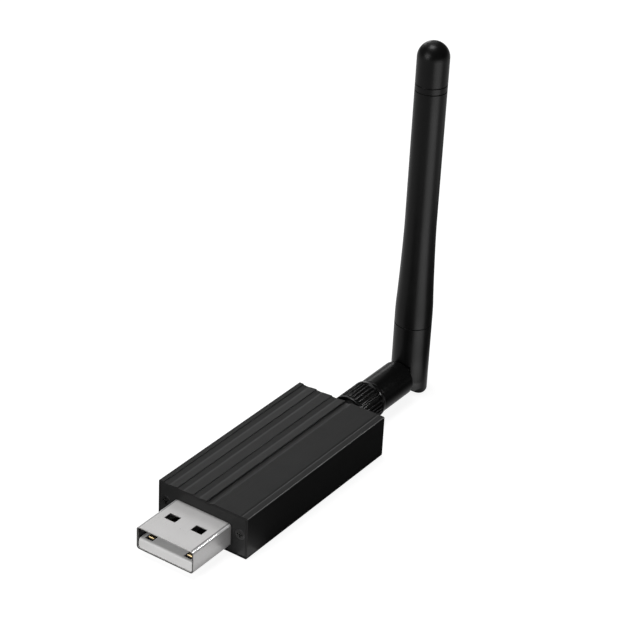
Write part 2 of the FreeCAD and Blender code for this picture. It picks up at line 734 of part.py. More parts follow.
def coupling_nut():
    """The nut: a threaded bore, a lip behind the plug's shoulder, and ribs between two ringed rims."""
    edge = NUT_EDGE
    ring_floor = NUT_RADIUS - NUT_RING_DEPTH
    nut = turned_along([
        (NUT_FRONT, NUT_BORE),
        (NUT_FRONT, NUT_RADIUS - edge),
        (NUT_FRONT + edge, NUT_RADIUS),
        (RIMS_FRONT, NUT_RADIUS),
        (RIMS_FRONT, ring_floor),
        (RIBS_FRONT, ring_floor),
        (RIBS_FRONT, NUT_RADIUS),
        (RIBS_BACK, NUT_RADIUS),
        (RIBS_BACK, ring_floor),
        (RIMS_BACK, ring_floor),
        (RIMS_BACK, NUT_RADIUS),
        (NUT_BACK - edge, NUT_RADIUS),
        (NUT_BACK, NUT_RADIUS - edge),
        (NUT_BACK, NECK_RADIUS + TURN_GAP),
        (LIP_FRONT, NECK_RADIUS + TURN_GAP),
        (LIP_FRONT, NUT_BORE),
    ])
    return nut.cut(rib_grooves())


def rib_grooves():
    """The grooves between the nut's ribs, cut as one ring of wedges."""
    bottom = RIB_GROOVE_FLOOR / 2
    top = RIB_GROOVE_WIDTH / 2
    floor = NUT_RADIUS - RIB_GROOVE_DEPTH
    above = NUT_RADIUS + JUST_PAST
    spread = bottom + (top - bottom) * (above - floor) / RIB_GROOVE_DEPTH
    section = [(-bottom, floor), (bottom, floor), (spread, above), (-spread, above)]
    start = RIBS_FRONT - JUST_PAST
    wire = Part.makePolygon([Vector(start, y, AXIS_HEIGHT + r) for y, r in section + section[:1]])
    groove = Part.Face(wire).extrude(Vector(RIBS_BACK + JUST_PAST - start, 0, 0))
    grooves = []
    for i in range(RIB_COUNT):
        turned = groove.copy()
        turned.rotate(Vector(0, 0, AXIS_HEIGHT), ALONG, 360 * (i + 0.5) / RIB_COUNT)
        grooves.append(turned)
    return grooves


def antenna_plug_body():
    """The turned plug: a ferrule in the jack, a shoulder in the nut, a neck, and a snap ring."""
    seat = JACK_SEAT + FERRULE_SEAT_GAP
    ferrule = JACK_CAVITY_RADIUS - FERRULE_GAP
    shoulder = SHOULDER_BACK - SHOULDER_THICKNESS
    cable = CABLE_RADIUS + CABLE_GAP
    return turned_along([
        (seat, DIELECTRIC_RADIUS),
        (seat, ferrule),
        (shoulder, ferrule),
        (shoulder, SHOULDER_RADIUS),
        (SHOULDER_BACK, SHOULDER_RADIUS),
        (SHOULDER_BACK, NECK_RADIUS),
        (SNAP_FRONT, NECK_RADIUS),
        (SNAP_FRONT, SNAP_RADIUS),
        (SNAP_BACK - SNAP_CHAMFER, SNAP_RADIUS),
        (SNAP_BACK, SNAP_RADIUS - SNAP_CHAMFER),
        (SNAP_BACK, cable),
        (PLUG_BORE_END, cable),
        (PLUG_BORE_END, DIELECTRIC_RADIUS),
    ])


def antenna_plug_dielectric():
    """The insulator inside the antenna plug."""
    start = JACK_SEAT + PLUG_DIELECTRIC_FROM_SEAT
    core = rod(start, PLUG_BORE_END, DIELECTRIC_RADIUS)
    return core.cut(rod(start - PAST, PLUG_BORE_END + PAST, SOCKET_RADIUS))


def antenna_centre_socket():
    """The socket that takes the jack's pin."""
    start = JACK_SEAT + SOCKET_FROM_SEAT
    socket = rod(start, start + SOCKET_LENGTH, SOCKET_RADIUS)
    return socket.cut(rod(start - PAST, start + SOCKET_DEPTH, JACK_PIN_RADIUS + SOCKET_PIN_GAP))


def elbow_disc(half_y, radius):
    """A disc on the elbow's axis."""
    return Part.makeCylinder(radius, 2 * half_y, Vector(ELBOW_X, -half_y, AXIS_HEIGHT), ACROSS)


def cable_slot():
    """The slot between the tongue's ears, open above, where the cable turns up."""
    across = (-TONGUE_EAR_INNER, TONGUE_EAR_INNER)
    top = AXIS_HEIGHT + TONGUE_EAR_RADIUS + PAST
    along = (BASE_BACK - BASE_END_WALL, ELBOW_X + TONGUE_EAR_RADIUS + PAST)
    slot = box(along, across, (AXIS_HEIGHT - BASE_CABLE_BORE, top))
    end_wall = (BASE_BACK - BASE_END_WALL - PAST, BASE_BACK)
    return slot.cut(box(end_wall, across, (AXIS_HEIGHT + BASE_CABLE_BORE, top)))


def antenna_base():
    """The lower arm: a round bar that turns on the plug, with a two-eared tongue for the elbow."""
    edge, radius = BASE_EDGE, BASE_RADIUS
    bar = rod(BASE_FRONT, BASE_BACK, radius)
    rims = [e for e in bar.Edges if e.Curve.TypeId == "Part::GeomCircle"]
    bar = bar.makeFillet(edge, rims)
    tongue = elbow_disc(TONGUE_EAR_OUTER, TONGUE_EAR_RADIUS).fuse(box(
        (BASE_BACK - PAST, ELBOW_X),
        (-TONGUE_EAR_OUTER, TONGUE_EAR_OUTER),
        (AXIS_HEIGHT - TONGUE_EAR_RADIUS, AXIS_HEIGHT + TONGUE_EAR_RADIUS),
    ))
    room = SNAP_RADIUS + TURN_GAP
    socket_end = SNAP_BACK + TURN_GAP
    cuts = [
        rod(BASE_FRONT - PAST, socket_end, NECK_RADIUS + TURN_GAP),
        rod(SNAP_FRONT - TURN_GAP, socket_end, room),
        rod(socket_end, BASE_BACK, BASE_CABLE_BORE),
        cable_slot(),
        elbow_disc(TONGUE_EAR_OUTER + PAST, ELBOW_PIN_RADIUS + ELBOW_PIN_GAP),
    ]
    return bar.fuse(tongue).cut(cuts).removeSplitter()


def elbow_pins():
    """Two stub pins, one in each cheek of the fork, as separate solids."""
    end = TONGUE_EAR_OUTER + FORK_GAP + ELBOW_PIN_DEPTH
    length = end - TONGUE_EAR_INNER - FORK_GAP / 2
    pins = []
    for side in (1, -1):
        start = Vector(ELBOW_X, side * end, AXIS_HEIGHT)
        pins.append(Part.makeCylinder(ELBOW_PIN_RADIUS, length, start, Vector(0, -side, 0)))
    return Part.makeCompound(pins)


def block_side():
    """The block's outline seen from the side: round under the elbow's front, with a rounded heel."""
    reach = BLOCK_RADIUS + PAST
    drop = AXIS_HEIGHT - BLOCK_FLOOR
    heel = BLOCK_HEEL_RADIUS
    half = math.sqrt(0.5)

    def place(dx, z):
        return Vector(ELBOW_X + dx, -reach, z)

    heel_x = BLOCK_RADIUS - heel
    corners = [
        Part.LineSegment(place(-drop, BLOCK_TOP), place(-drop, AXIS_HEIGHT)),
        Part.Arc(
            place(-drop, AXIS_HEIGHT),
            place(-drop * half, AXIS_HEIGHT - drop * half),
            place(0, BLOCK_FLOOR),
        ),
        Part.LineSegment(place(0, BLOCK_FLOOR), place(heel_x, BLOCK_FLOOR)),
        Part.Arc(
            place(heel_x, BLOCK_FLOOR),
            place(heel_x + heel * half, BLOCK_FLOOR + heel * (1 - half)),
            place(BLOCK_RADIUS, BLOCK_FLOOR + heel),
        ),
        Part.LineSegment(place(BLOCK_RADIUS, BLOCK_FLOOR + heel), place(BLOCK_RADIUS, BLOCK_TOP)),
        Part.LineSegment(place(BLOCK_RADIUS, BLOCK_TOP), place(-drop, BLOCK_TOP)),
    ]
    face = Part.Face(Part.Wire([c.toShape() for c in corners]))
    return face.extrude(Vector(0, 2 * reach, 0))


def antenna_arm_block():
    """The fork at the foot of the upper arm, with a spigot for the sleeve."""
    block = turned_upright([
        (0, BLOCK_FLOOR),
        (BLOCK_RADIUS, BLOCK_FLOOR),
        (BLOCK_RADIUS, BLOCK_TOP - SEAM_EDGE),
        (BLOCK_RADIUS - SEAM_EDGE, BLOCK_TOP),
        (0, BLOCK_TOP),
    ]).common(block_side())
    block = block.fuse(post(BLOCK_TOP - PAST, SPIGOT_TOP, SLEEVE_BORE - SPIGOT_GAP))
    reach = BLOCK_RADIUS + PAST
    turn = TONGUE_EAR_RADIUS + FORK_TURN_GAP
    cheek = TONGUE_EAR_OUTER + FORK_GAP
    cuts = [
        box((ELBOW_X - reach, ELBOW_X), (-cheek, cheek), (AXIS_HEIGHT - reach, AXIS_HEIGHT + turn)),
        box((ELBOW_X - JUST_PAST, ELBOW_X + turn), (-cheek, cheek), (AXIS_HEIGHT - reach, AXIS_HEIGHT)),
        elbow_disc(cheek, turn),
        elbow_disc(cheek + ELBOW_PIN_DEPTH, ELBOW_PIN_RADIUS),
        post(AXIS_HEIGHT, SPIGOT_TOP + PAST, BLOCK_BORE),
    ]
    return block.cut(cuts).removeSplitter()


def flare_curve():
    """The smooth outer edge of the sleeve's flare, from the seam up to the straight part."""
    points = [Vector(ELBOW_X + BLOCK_RADIUS, 0, BLOCK_TOP + SEAM_EDGE)]
    narrowing = BLOCK_RADIUS - SLEEVE_TIP_RADIUS
    for height, share in SLEEVE_FLARE:
        points.append(Vector(ELBOW_X + BLOCK_RADIUS - share * narrowing, 0, BLOCK_TOP + height))
    points.append(Vector(ELBOW_X + SLEEVE_TIP_RADIUS, 0, SLEEVE_STRAIGHT_FROM))
    curve = Part.BSplineCurve()
    curve.interpolate(points, InitialTangent=UP, FinalTangent=UP)
    return curve.toShape()


def antenna_sleeve():
    """The moulded sleeve: a wide foot that flares in to a straight rod, hollow inside."""
    corners = [
        (SLEEVE_TIP_RADIUS, SLEEVE_STRAIGHT_FROM),
        (SLEEVE_TIP_RADIUS, SLEEVE_TOP - SEAM_EDGE),
        (SLEEVE_TIP_RADIUS - SEAM_EDGE, SLEEVE_TOP),
        (SLEEVE_TIP_BORE, SLEEVE_TOP),
        (SLEEVE_TIP_BORE, SLEEVE_TAPER_INSIDE),
        (SLEEVE_BORE, SPIGOT_TOP),
        (SLEEVE_BORE, BLOCK_TOP),
        (BLOCK_RADIUS - SEAM_EDGE, BLOCK_TOP),
        (BLOCK_RADIUS, BLOCK_TOP + SEAM_EDGE),
    ]
    places = [Vector(ELBOW_X + r, 0, z) for r, z in corners]
    edges = [Part.LineSegment(a, b).toShape() for a, b in zip(places, places[1:])]
    face = Part.Face(Part.Wire([flare_curve()] + edges))
    return face.revolve(Vector(ELBOW_X, 0, 0), UP, 360)


def antenna_cap():
    """The end cap: a spigot in the sleeve, a ring groove and a domed top."""
    radius, groove = SLEEVE_TIP_RADIUS, CAP_GROOVE_WIDTH / 2
    spigot = SLEEVE_TIP_BORE - SPIGOT_GAP
    dome = CAP_TOP - radius
    corners = [
        (0, CAP_SPIGOT_BOTTOM),
        (spigot, CAP_SPIGOT_BOTTOM),
        (spigot, SLEEVE_TOP),
        (radius - SEAM_EDGE, SLEEVE_TOP),
        (radius, SLEEVE_TOP + SEAM_EDGE),
        (radius, CAP_GROOVE_HEIGHT - groove),
        (radius - CAP_GROOVE_DEPTH, CAP_GROOVE_HEIGHT),
        (radius, CAP_GROOVE_HEIGHT + groove),
        (radius, dome),
    ]
    places = [Vector(ELBOW_X + r, 0, z) for r, z in corners]
    edges = [Part.LineSegment(a, b).toShape() for a, b in zip(places, places[1:])]
    top = Vector(ELBOW_X, 0, CAP_TOP)
    half = math.sqrt(0.5)
    shoulder = Vector(ELBOW_X + radius * half, 0, dome + radius * half)
    edges.append(Part.Arc(places[-1], shoulder, top).toShape())
    edges.append(Part.LineSegment(top, places[0]).toShape())
    cap = Part.Face(Part.Wire(edges)).revolve(Vector(ELBOW_X, 0, 0), UP, 360)
    hole = post(CAP_SPIGOT_BOTTOM - PAST, CAP_SPIGOT_BOTTOM + RADIATOR_IN_CAP, RADIATOR_RADIUS)
    return cap.cut(hole)


def coax_cable():
    """The cable from the antenna plug through the elbow and up to the radiator."""
    start = PLUG_BORE_END
    bend, half = CABLE_BEND, math.sqrt(0.5)
    low = Vector(ELBOW_X - bend, 0, AXIS_HEIGHT)
    high = Vector(ELBOW_X, 0, AXIS_HEIGHT + bend)
    middle = Vector(ELBOW_X - bend * (1 - half), 0, AXIS_HEIGHT + bend * (1 - half))
    path = Part.Wire([
        Part.LineSegment(Vector(start, 0, AXIS_HEIGHT), low).toShape(),
        Part.Arc(low, middle, high).toShape(),
        Part.LineSegment(high, Vector(ELBOW_X, 0, CABLE_TOP)).toShape(),
    ])
    section = Part.Wire([Part.makeCircle(CABLE_RADIUS, Vector(start, 0, AXIS_HEIGHT), ALONG)])
    return path.makePipeShell([section], True, False)


def dipole_tube():
    """The brass tube round the cable, closed onto it at the top."""
    outer, inner = DIPOLE_RADIUS, DIPOLE_RADIUS - DIPOLE_WALL
    cable = CABLE_RADIUS
    return turned_upright([
        (inner, DIPOLE_BOTTOM),
        (outer, DIPOLE_BOTTOM),
        (outer, DIPOLE_TOP),
        (cable, DIPOLE_TOP),
        (cable, DIPOLE_TOP - 2 * DIPOLE_WALL),
        (inner, DIPOLE_TOP - 2 * DIPOLE_WALL),
    ])


def radiator_wire():
    """The bare wire above the cable, held in the cap."""
    return post(CABLE_TOP, CAP_SPIGOT_BOTTOM + RADIATOR_IN_CAP, RADIATOR_RADIUS)


def build():
    """Every node by name."""
    module = (MODULE_LENGTH, MODULE_WIDTH, MODULE_THICKNESS)
    bridge = (BRIDGE_SIZE, BRIDGE_SIZE, BRIDGE_THICKNESS)
    regulator = (REGULATOR_LENGTH, REGULATOR_WIDTH, REGULATOR_THICKNESS)
    crystal = (CRYSTAL_LENGTH, CRYSTAL_WIDTH, CRYSTAL_THICKNESS)
    nodes = {
        "housing_extrusion": housing_extrusion(),
        "front_plate": front_plate(),
        "rear_plate": rear_plate(),
        "front_plate_screws": plate_screws(FRONT, -1),
        "rear_plate_screws": plate_screws(REAR, 1),
        "plug_shell": plug_shell(),
        "plug_tongue": plug_tongue(),
        "circuit_board": circuit_board(),
        "radio_module_board": on_board(MODULE_X, 0, module),
        "radio_shield_can": shield_can(),
        "bridge_chip": on_board(BRIDGE_X, 0, bridge),
        "regulator": on_board(BRIDGE_X, REGULATOR_Y, regulator),
        "crystal": on_board(BRIDGE_X, CRYSTAL_Y, crystal),
        "capacitors": chip_row(CAPACITOR_X, 0, CHIP_PIECE_COUNT),
        "status_leds": leds(),
        "jack_body": jack_body(),
        "jack_dielectric": jack_dielectric(),
        "jack_centre_pin": jack_centre_pin(),
        "jack_washer": jack_washer(),
        "coupling_nut": coupling_nut(),
        "antenna_plug_body": antenna_plug_body(),
        "antenna_plug_dielectric": antenna_plug_dielectric(),
        "antenna_centre_socket": antenna_centre_socket(),
        "antenna_base": antenna_base(),
        "elbow_pins": elbow_pins(),
        "antenna_arm_block": antenna_arm_block(),
        "antenna_sleeve": antenna_sleeve(),
        "antenna_cap": antenna_cap(),
        "coax_cable": coax_cable(),
        "dipole_tube": dipole_tube(),
        "radiator_wire": radiator_wire(),
    }
    for number, (y, front_x) in enumerate(contact_lines(), 1):
        nodes[f"plug_contact_{number}"] = plug_contact(y, front_x)
    return nodes


def main():
    """Writes one STEP file per node."""
    os.makedirs("parts", exist_ok=True)
    for name, shape in build().items():
        solids = len(shape.Solids)
        print(f"{name}: {solids} solid(s), {shape.Volume:.2f} mm3, valid {shape.isValid()}")
        shape.exportStep(f"parts/{name}.step")


main()
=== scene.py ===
"""Dresses the radio stick: housing, plug, plates, threaded jack, coupling nut and jointed rod antenna.

Meshes are worked out in millimetres, in the part's own frame, and are placed in metres.
A shape that cuts another reaches PAST what it cuts.
"""
from __future__ import annotations

import logging
import math
from dataclasses import dataclass, field, replace
from enum import Enum
from functools import reduce
from typing import Callable, Iterable, Sequence

import bmesh
import bpy
from mathutils import Matrix, Vector

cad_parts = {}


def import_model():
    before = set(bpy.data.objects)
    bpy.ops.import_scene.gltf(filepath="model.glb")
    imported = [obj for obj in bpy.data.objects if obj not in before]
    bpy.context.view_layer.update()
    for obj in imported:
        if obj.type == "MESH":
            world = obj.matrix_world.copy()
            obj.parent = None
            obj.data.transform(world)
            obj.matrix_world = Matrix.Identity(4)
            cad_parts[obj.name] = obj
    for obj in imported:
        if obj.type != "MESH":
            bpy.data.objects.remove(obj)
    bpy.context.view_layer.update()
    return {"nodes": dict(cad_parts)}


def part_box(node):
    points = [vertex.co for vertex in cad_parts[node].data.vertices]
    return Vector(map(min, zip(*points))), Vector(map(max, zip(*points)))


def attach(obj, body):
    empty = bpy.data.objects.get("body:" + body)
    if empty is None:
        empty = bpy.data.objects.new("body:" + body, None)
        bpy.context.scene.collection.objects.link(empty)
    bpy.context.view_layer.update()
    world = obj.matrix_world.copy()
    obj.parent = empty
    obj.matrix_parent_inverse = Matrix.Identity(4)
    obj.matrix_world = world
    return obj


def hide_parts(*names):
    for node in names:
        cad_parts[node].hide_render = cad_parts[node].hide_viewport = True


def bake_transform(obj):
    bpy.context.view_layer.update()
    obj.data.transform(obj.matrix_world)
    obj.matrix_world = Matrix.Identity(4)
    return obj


LOG = logging.getLogger("radio_stick")
MM = 0.001
PAST = 1.0

Point = tuple[float, float]
Corner = tuple[float, float, float]
Colour = tuple[float, float, float, float]


class Body(Enum):
    """The bodies that pieces ride on."""

    STICK = "stick"
    ANTENNA_PLUG = "antenna_plug"
    NUT = "nut"
    LOWER_ARM = "lower_arm"
    UPPER_ARM = "upper_arm"


class Turning(Enum):
    """The line that a turned piece is turned about."""

    ALONG = "the jack's axis"
    UPRIGHT = "the upper arm's axis"


def grey(level: float) -> Colour:
    """Gives a neutral colour of that linear level."""
    return (level, level, level, 1.0)


def node_box(node: str) -> tuple[Vector, Vector]:
    """Gives a node's corners in millimetres.

    Args:
        node: The name of a node of the frame.

    Returns:
        The lowest and the highest corner.
    """
    low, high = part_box(node)
    return low / MM, high / MM


def rounded(corners: Sequence[Corner], steps: int = 5) -> list[Point]:
    """Rounds the corners of a closed outline.

    Args:
        corners: Each corner's two coordinates and its radius.
        steps: Straight pieces in each round.

    Returns:
        The points of the outline, in the order of its corners.
    """
    points: list[Point] = []
    count = len(corners)
    for i, (x, y, radius) in enumerate(corners):
        here = Vector((x, y))
        before = Vector(corners[i - 1][:2]) - here
        after = Vector(corners[(i + 1) % count][:2]) - here
        if radius <= 0 or before.length < 1e-9 or after.length < 1e-9:
            points.append((x, y))
            continue
        turn = math.pi - before.angle(after)
        if turn < 1e-3:
            points.append((x, y))
            continue
        room = min(before.length, after.length) * 0.49
        reach = min(radius * math.tan(turn / 2), room)
        true_radius = reach / math.tan(turn / 2)
        start = here + before.normalized() * reach
        middle = (before.normalized() + after.normalized()).normalized()
        centre = here + middle * (true_radius / math.cos(turn / 2))
        arm = start - centre
        side = 1.0 if before.cross(after) < 0 else -1.0
        for step in range(steps + 1):
            angle = side * turn * step / steps
            cos, sin = math.cos(angle), math.sin(angle)
            points.append((centre.x + arm.x * cos - arm.y * sin, centre.y + arm.x * sin + arm.y * cos))
    return points


def inset(outline: Sequence[Point], depth: float) -> list[Point]:
    """Moves an outline inwards by a small depth.

    Args:
        outline: The points of a closed outline.
        depth: How far every side moves in.

    Returns:
        As many points as the outline has.
    """
    area = sum(a[0] * b[1] - b[0] * a[1] for a, b in zip(outline, [*outline[1:], outline[0]]))
    inwards = 1.0 if area > 0 else -1.0
    moved = []
    for i, point in enumerate(outline):
        before = Vector(point) - Vector(outline[i - 1])
        after = Vector(outline[(i + 1) % len(outline)]) - Vector(point)
        normals = [Vector((-d.y, d.x)).normalized() * inwards for d in (before, after)]
        middle = normals[0] + normals[1]
        share = max(middle.length_squared / 2, 0.5)
        moved.append(tuple(Vector(point) + middle * (depth / share)))
    return moved


def new_piece(name: str, bm: bmesh.types.BMesh) -> bpy.types.Object:
    """Makes an object, still in millimetres, of a closed shape.

    Args:
        name: The object's name.
        bm: The shape, which is freed.

    Returns:
        The object, with its doubles merged and its faces outwards.
    """
    bmesh.ops.remove_doubles(bm, verts=bm.verts, dist=1e-5)
    bmesh.ops.recalc_face_normals(bm, faces=bm.faces)
    mesh = bpy.data.meshes.new(name)
    bm.to_mesh(mesh)
    bm.free()
    piece = bpy.data.objects.new(name, mesh)
    bpy.context.scene.collection.objects.link(piece)
    return piece


def bake(piece: bpy.types.Object) -> bpy.types.Object:
    """Turns an object with modifiers into a plain mesh.

    Args:
        piece: The object.

    Returns:
        The same object.
    """
    evaluated = piece.evaluated_get(bpy.context.evaluated_depsgraph_get())
    mesh = bpy.data.meshes.new_from_object(evaluated)
    piece.modifiers.clear()
    old = piece.data
    piece.data = mesh
    bpy.data.meshes.remove(old)
    return piece


def combine(piece: bpy.types.Object, how: str, others: Iterable[bpy.types.Object]) -> bpy.types.Object:
    """Joins other shapes to a piece, cuts them out of it, or keeps what they share.

    Args:
        piece: The shape that changes.
        how: UNION, DIFFERENCE or INTERSECT.
        others: The other shapes, which are used up.

    Returns:
        The piece, as a plain mesh.
    """
    used = list(others)
    for other in used:
        modifier = piece.modifiers.new("combine", "BOOLEAN")
        modifier.operation = how
        modifier.solver = "EXACT"
        modifier.object = other
    bake(piece)
    for other in used:
        remove(other)
    return piece


def soften(
    piece: bpy.types.Object,
    width: float,
    steps: int = 2,
    angle: float = 35.0,
    where: Callable[[Vector], bool] | None = None,
) -> bpy.types.Object:
    """Breaks the sharp edges of a shape.

    Args:
        piece: The shape.
        width: The width of the broken edge, in the mesh's unit.
        steps: Faces across it.
        angle: The least angle, in degrees, of an edge that is broken.
        where: Says of a place whether edges there are broken, or None for all.

    Returns:
        The piece, as a plain mesh.
    """
    bm = bmesh.new()
    bm.from_mesh(piece.data)
    sharp = []
    for edge in bm.edges:
        turned = len(edge.link_faces) == 2 and edge.calc_face_angle(0.0) > math.radians(angle)
        if turned and (where is None or all(where(vertex.co) for vertex in edge.verts)):
            sharp.append(edge)
    bmesh.ops.bevel(
        bm, geom=sharp, offset=width, segments=steps, profile=0.5, affect="EDGES", clamp_overlap=True
    )
    bm.to_mesh(piece.data)
    bm.free()
    return piece


def shade(piece: bpy.types.Object, angle: float = 35.0, weighted: bool = True) -> bpy.types.Object:
    """Shades a shape smoothly, apart from its sharp edges.

    Args:
        piece: The shape.
        angle: The least angle of an edge that stays sharp, in degrees.
        weighted: Whether flat faces keep their flat look beside rounds.

    Returns:
        The piece, as a plain mesh.
    """
    bm = bmesh.new()
    bm.from_mesh(piece.data)
    for face in bm.faces:
        face.smooth = True
    for edge in bm.edges:
        flat = len(edge.link_faces) == 2 and edge.calc_face_angle(0.0) < math.radians(angle)
        edge.smooth = flat
    bm.to_mesh(piece.data)
    bm.free()
    if weighted:
        modifier = piece.modifiers.new("normals", "WEIGHTED_NORMAL")
        modifier.keep_sharp = True
        bake(piece)
    return piece


def remove(piece: bpy.types.Object) -> None:
    """Deletes an object and its mesh."""
    mesh = piece.data
    bpy.data.objects.remove(piece)
    bpy.data.meshes.remove(mesh)


def box(x: Point, y: Point, z: Point) -> bpy.types.Object:
    """Makes a box between pairs of limits along each axis."""
    bm = bmesh.new()
    bmesh.ops.create_cube(bm, size=1.0)
    size = Vector((x[1] - x[0], y[1] - y[0], z[1] - z[0]))
    centre = Vector((x[0] + x[1], y[0] + y[1], z[0] + z[1])) / 2
    for vertex in bm.verts:
        vertex.co = centre + Vector((vertex.co.x * size.x, vertex.co.y * size.y, vertex.co.z * size.z))
    return new_piece("box", bm)


def skin(bm: bmesh.types.BMesh, rings: Sequence[Sequence[bmesh.types.BMVert]]) -> None:
    """Joins each closed ring of vertices to the next with faces."""
    for ring, after in zip(rings, rings[1:]):
        for i in range(len(ring)):
            bm.faces.new((ring[i - 1], ring[i], after[i], after[i - 1]))


def loft(name: str, rings: Sequence[Sequence[Corner | Vector]]) -> bpy.types.Object:
    """Makes a solid that passes through rings of places and is closed at both ends.

    Args:
        name: The object's name.
        rings: Each ring's places, as many in each.

    Returns:
        A closed shape.
    """
    bm = bmesh.new()
    made = [[bm.verts.new(place) for place in ring] for ring in rings]
    skin(bm, made)
    bm.faces.new(made[0])
    bm.faces.new(made[-1])
    return new_piece(name, bm)


def prism(
    name: str, outline: Sequence[Point], x: Point, edge: float = 0.0, steps: int = 3
) -> bpy.types.Object:
    """Runs an outline along X.

    Args:
        name: The object's name.
        outline: Points as (y, z).
        x: Where it starts and stops.
        edge: The radius of the round at both ends, or 0.
        steps: Faces across that round.

    Returns:
        A closed shape.
    """
    turns = [math.pi / 2 * step / steps for step in range(steps + 1)] if edge > 0 else [math.pi / 2]
    start = [(x[0] + edge * (1 - math.cos(turn)), edge * (1 - math.sin(turn))) for turn in turns]
    stations = [*start, *((x[0] + x[1] - at, depth) for at, depth in reversed(start))]
    rings = []
    for at, depth in stations:
        points = inset(outline, depth) if depth > 0 else outline
        rings.append([(at, y, z) for y, z in points])
    return loft(name, rings)


def rounded_rectangle(centre: Point, half: Point, radius: float, steps: int = 6) -> list[Point]:
    """Gives a rectangle with round corners.

    Args:
        centre: Its middle.
        half: Half of its size along each coordinate.
        radius: The radius of its corners.
        steps: Straight pieces in each round.

    Returns:
        The points of the outline.
    """
    signs = ((1, 1), (-1, 1), (-1, -1), (1, -1))
    return rounded([(centre[0] + sy * half[0], centre[1] + sz * half[1], radius) for sy, sz in signs], steps)


def circle(centre: Point, radius: float, steps: int) -> list[Point]:
    """Gives a circle as an outline of four quarters, each of some straight pieces."""
    return rounded_rectangle(centre, (radius, radius), radius, steps)


def on_side(side: int, near: float, far: float) -> Point:
    """Gives the limits across of what lies at a side, 1 for the left and -1 for the right."""
    return tuple(sorted((side * near, side * far)))


@dataclass
class Axes:
    """The two lines that the antenna's pieces are turned about, in millimetres."""

    height: float
    elbow_x: float

    def place(self, turning: Turning, at: float, radius: float, angle: float) -> Vector:
        """Gives the place of a point of a turned piece.

        Args:
            turning: The line that it is turned about.
            at: How far along that line.
            radius: How far from it.
            angle: Where round it, in radians.

        Returns:
            The place.
        """
        cos, sin = radius * math.cos(angle), radius * math.sin(angle)
        if turning is Turning.ALONG:
            return Vector((at, sin, self.height + cos))
        return Vector((self.elbow_x + cos, sin, at))

    def turned(
        self,
        name: str,
        turning: Turning,
        profile: Sequence[Point],
        segments: int = 128,
        offset: Point = (0.0, 0.0),
    ) -> bpy.types.Object:
        """Turns a closed profile into a ring or a solid.

        Args:
            name: The object's name.
            turning: The line that it is turned about.
            profile: Points as (place along the line, radius).
            segments: Faces round the line.
            offset: A sideways move of the line, across and up.

        Returns:
            A closed shape.
        """
        bm = bmesh.new()
        loops = []
        for at, radius in profile:
            if radius < 1e-6:
                pole = bm.verts.new(self.place(turning, at, 0.0, 0.0))
                loops.append([pole] * segments)
                continue
            angles = [2 * math.pi * i / segments for i in range(segments)]
            loops.append([bm.verts.new(self.place(turning, at, radius, a)) for a in angles])
        for loop, after in zip(loops, [*loops[1:], loops[0]]):
            for i in range(segments):
                corners = [loop[i - 1], loop[i], after[i], after[i - 1]]
                unique = list(dict.fromkeys(corners))
                if len(unique) > 2:
                    bm.faces.new(unique)
        if offset != (0.0, 0.0):
            bmesh.ops.translate(bm, vec=(0, offset[0], offset[1]), verts=bm.verts)
        return new_piece(name, bm)

    def rod(
        self,
        span: Point,
        radius: float,
        segments: int = 96,
        offset: Point = (0.0, 0.0),
        nose: float = 0.0,
        turning: Turning = Turning.ALONG,
    ) -> bpy.types.Object:
        """Makes a cylinder.

        Args:
            span: Where it starts and stops along its line.
            radius: Its radius.
            segments: Faces round it.
            offset: A sideways move of its line, across and up.
            nose: The radius of the round at its start, or 0.
            turning: The line that it is turned about.

        Returns:
            A closed shape.
        """
        start, stop = span
        profile = [(start, 0.0, 0.0), (start, radius, nose), (stop, radius, 0.0), (stop, 0.0, 0.0)]
        return self.turned("rod", turning, rounded(profile), segments, offset)


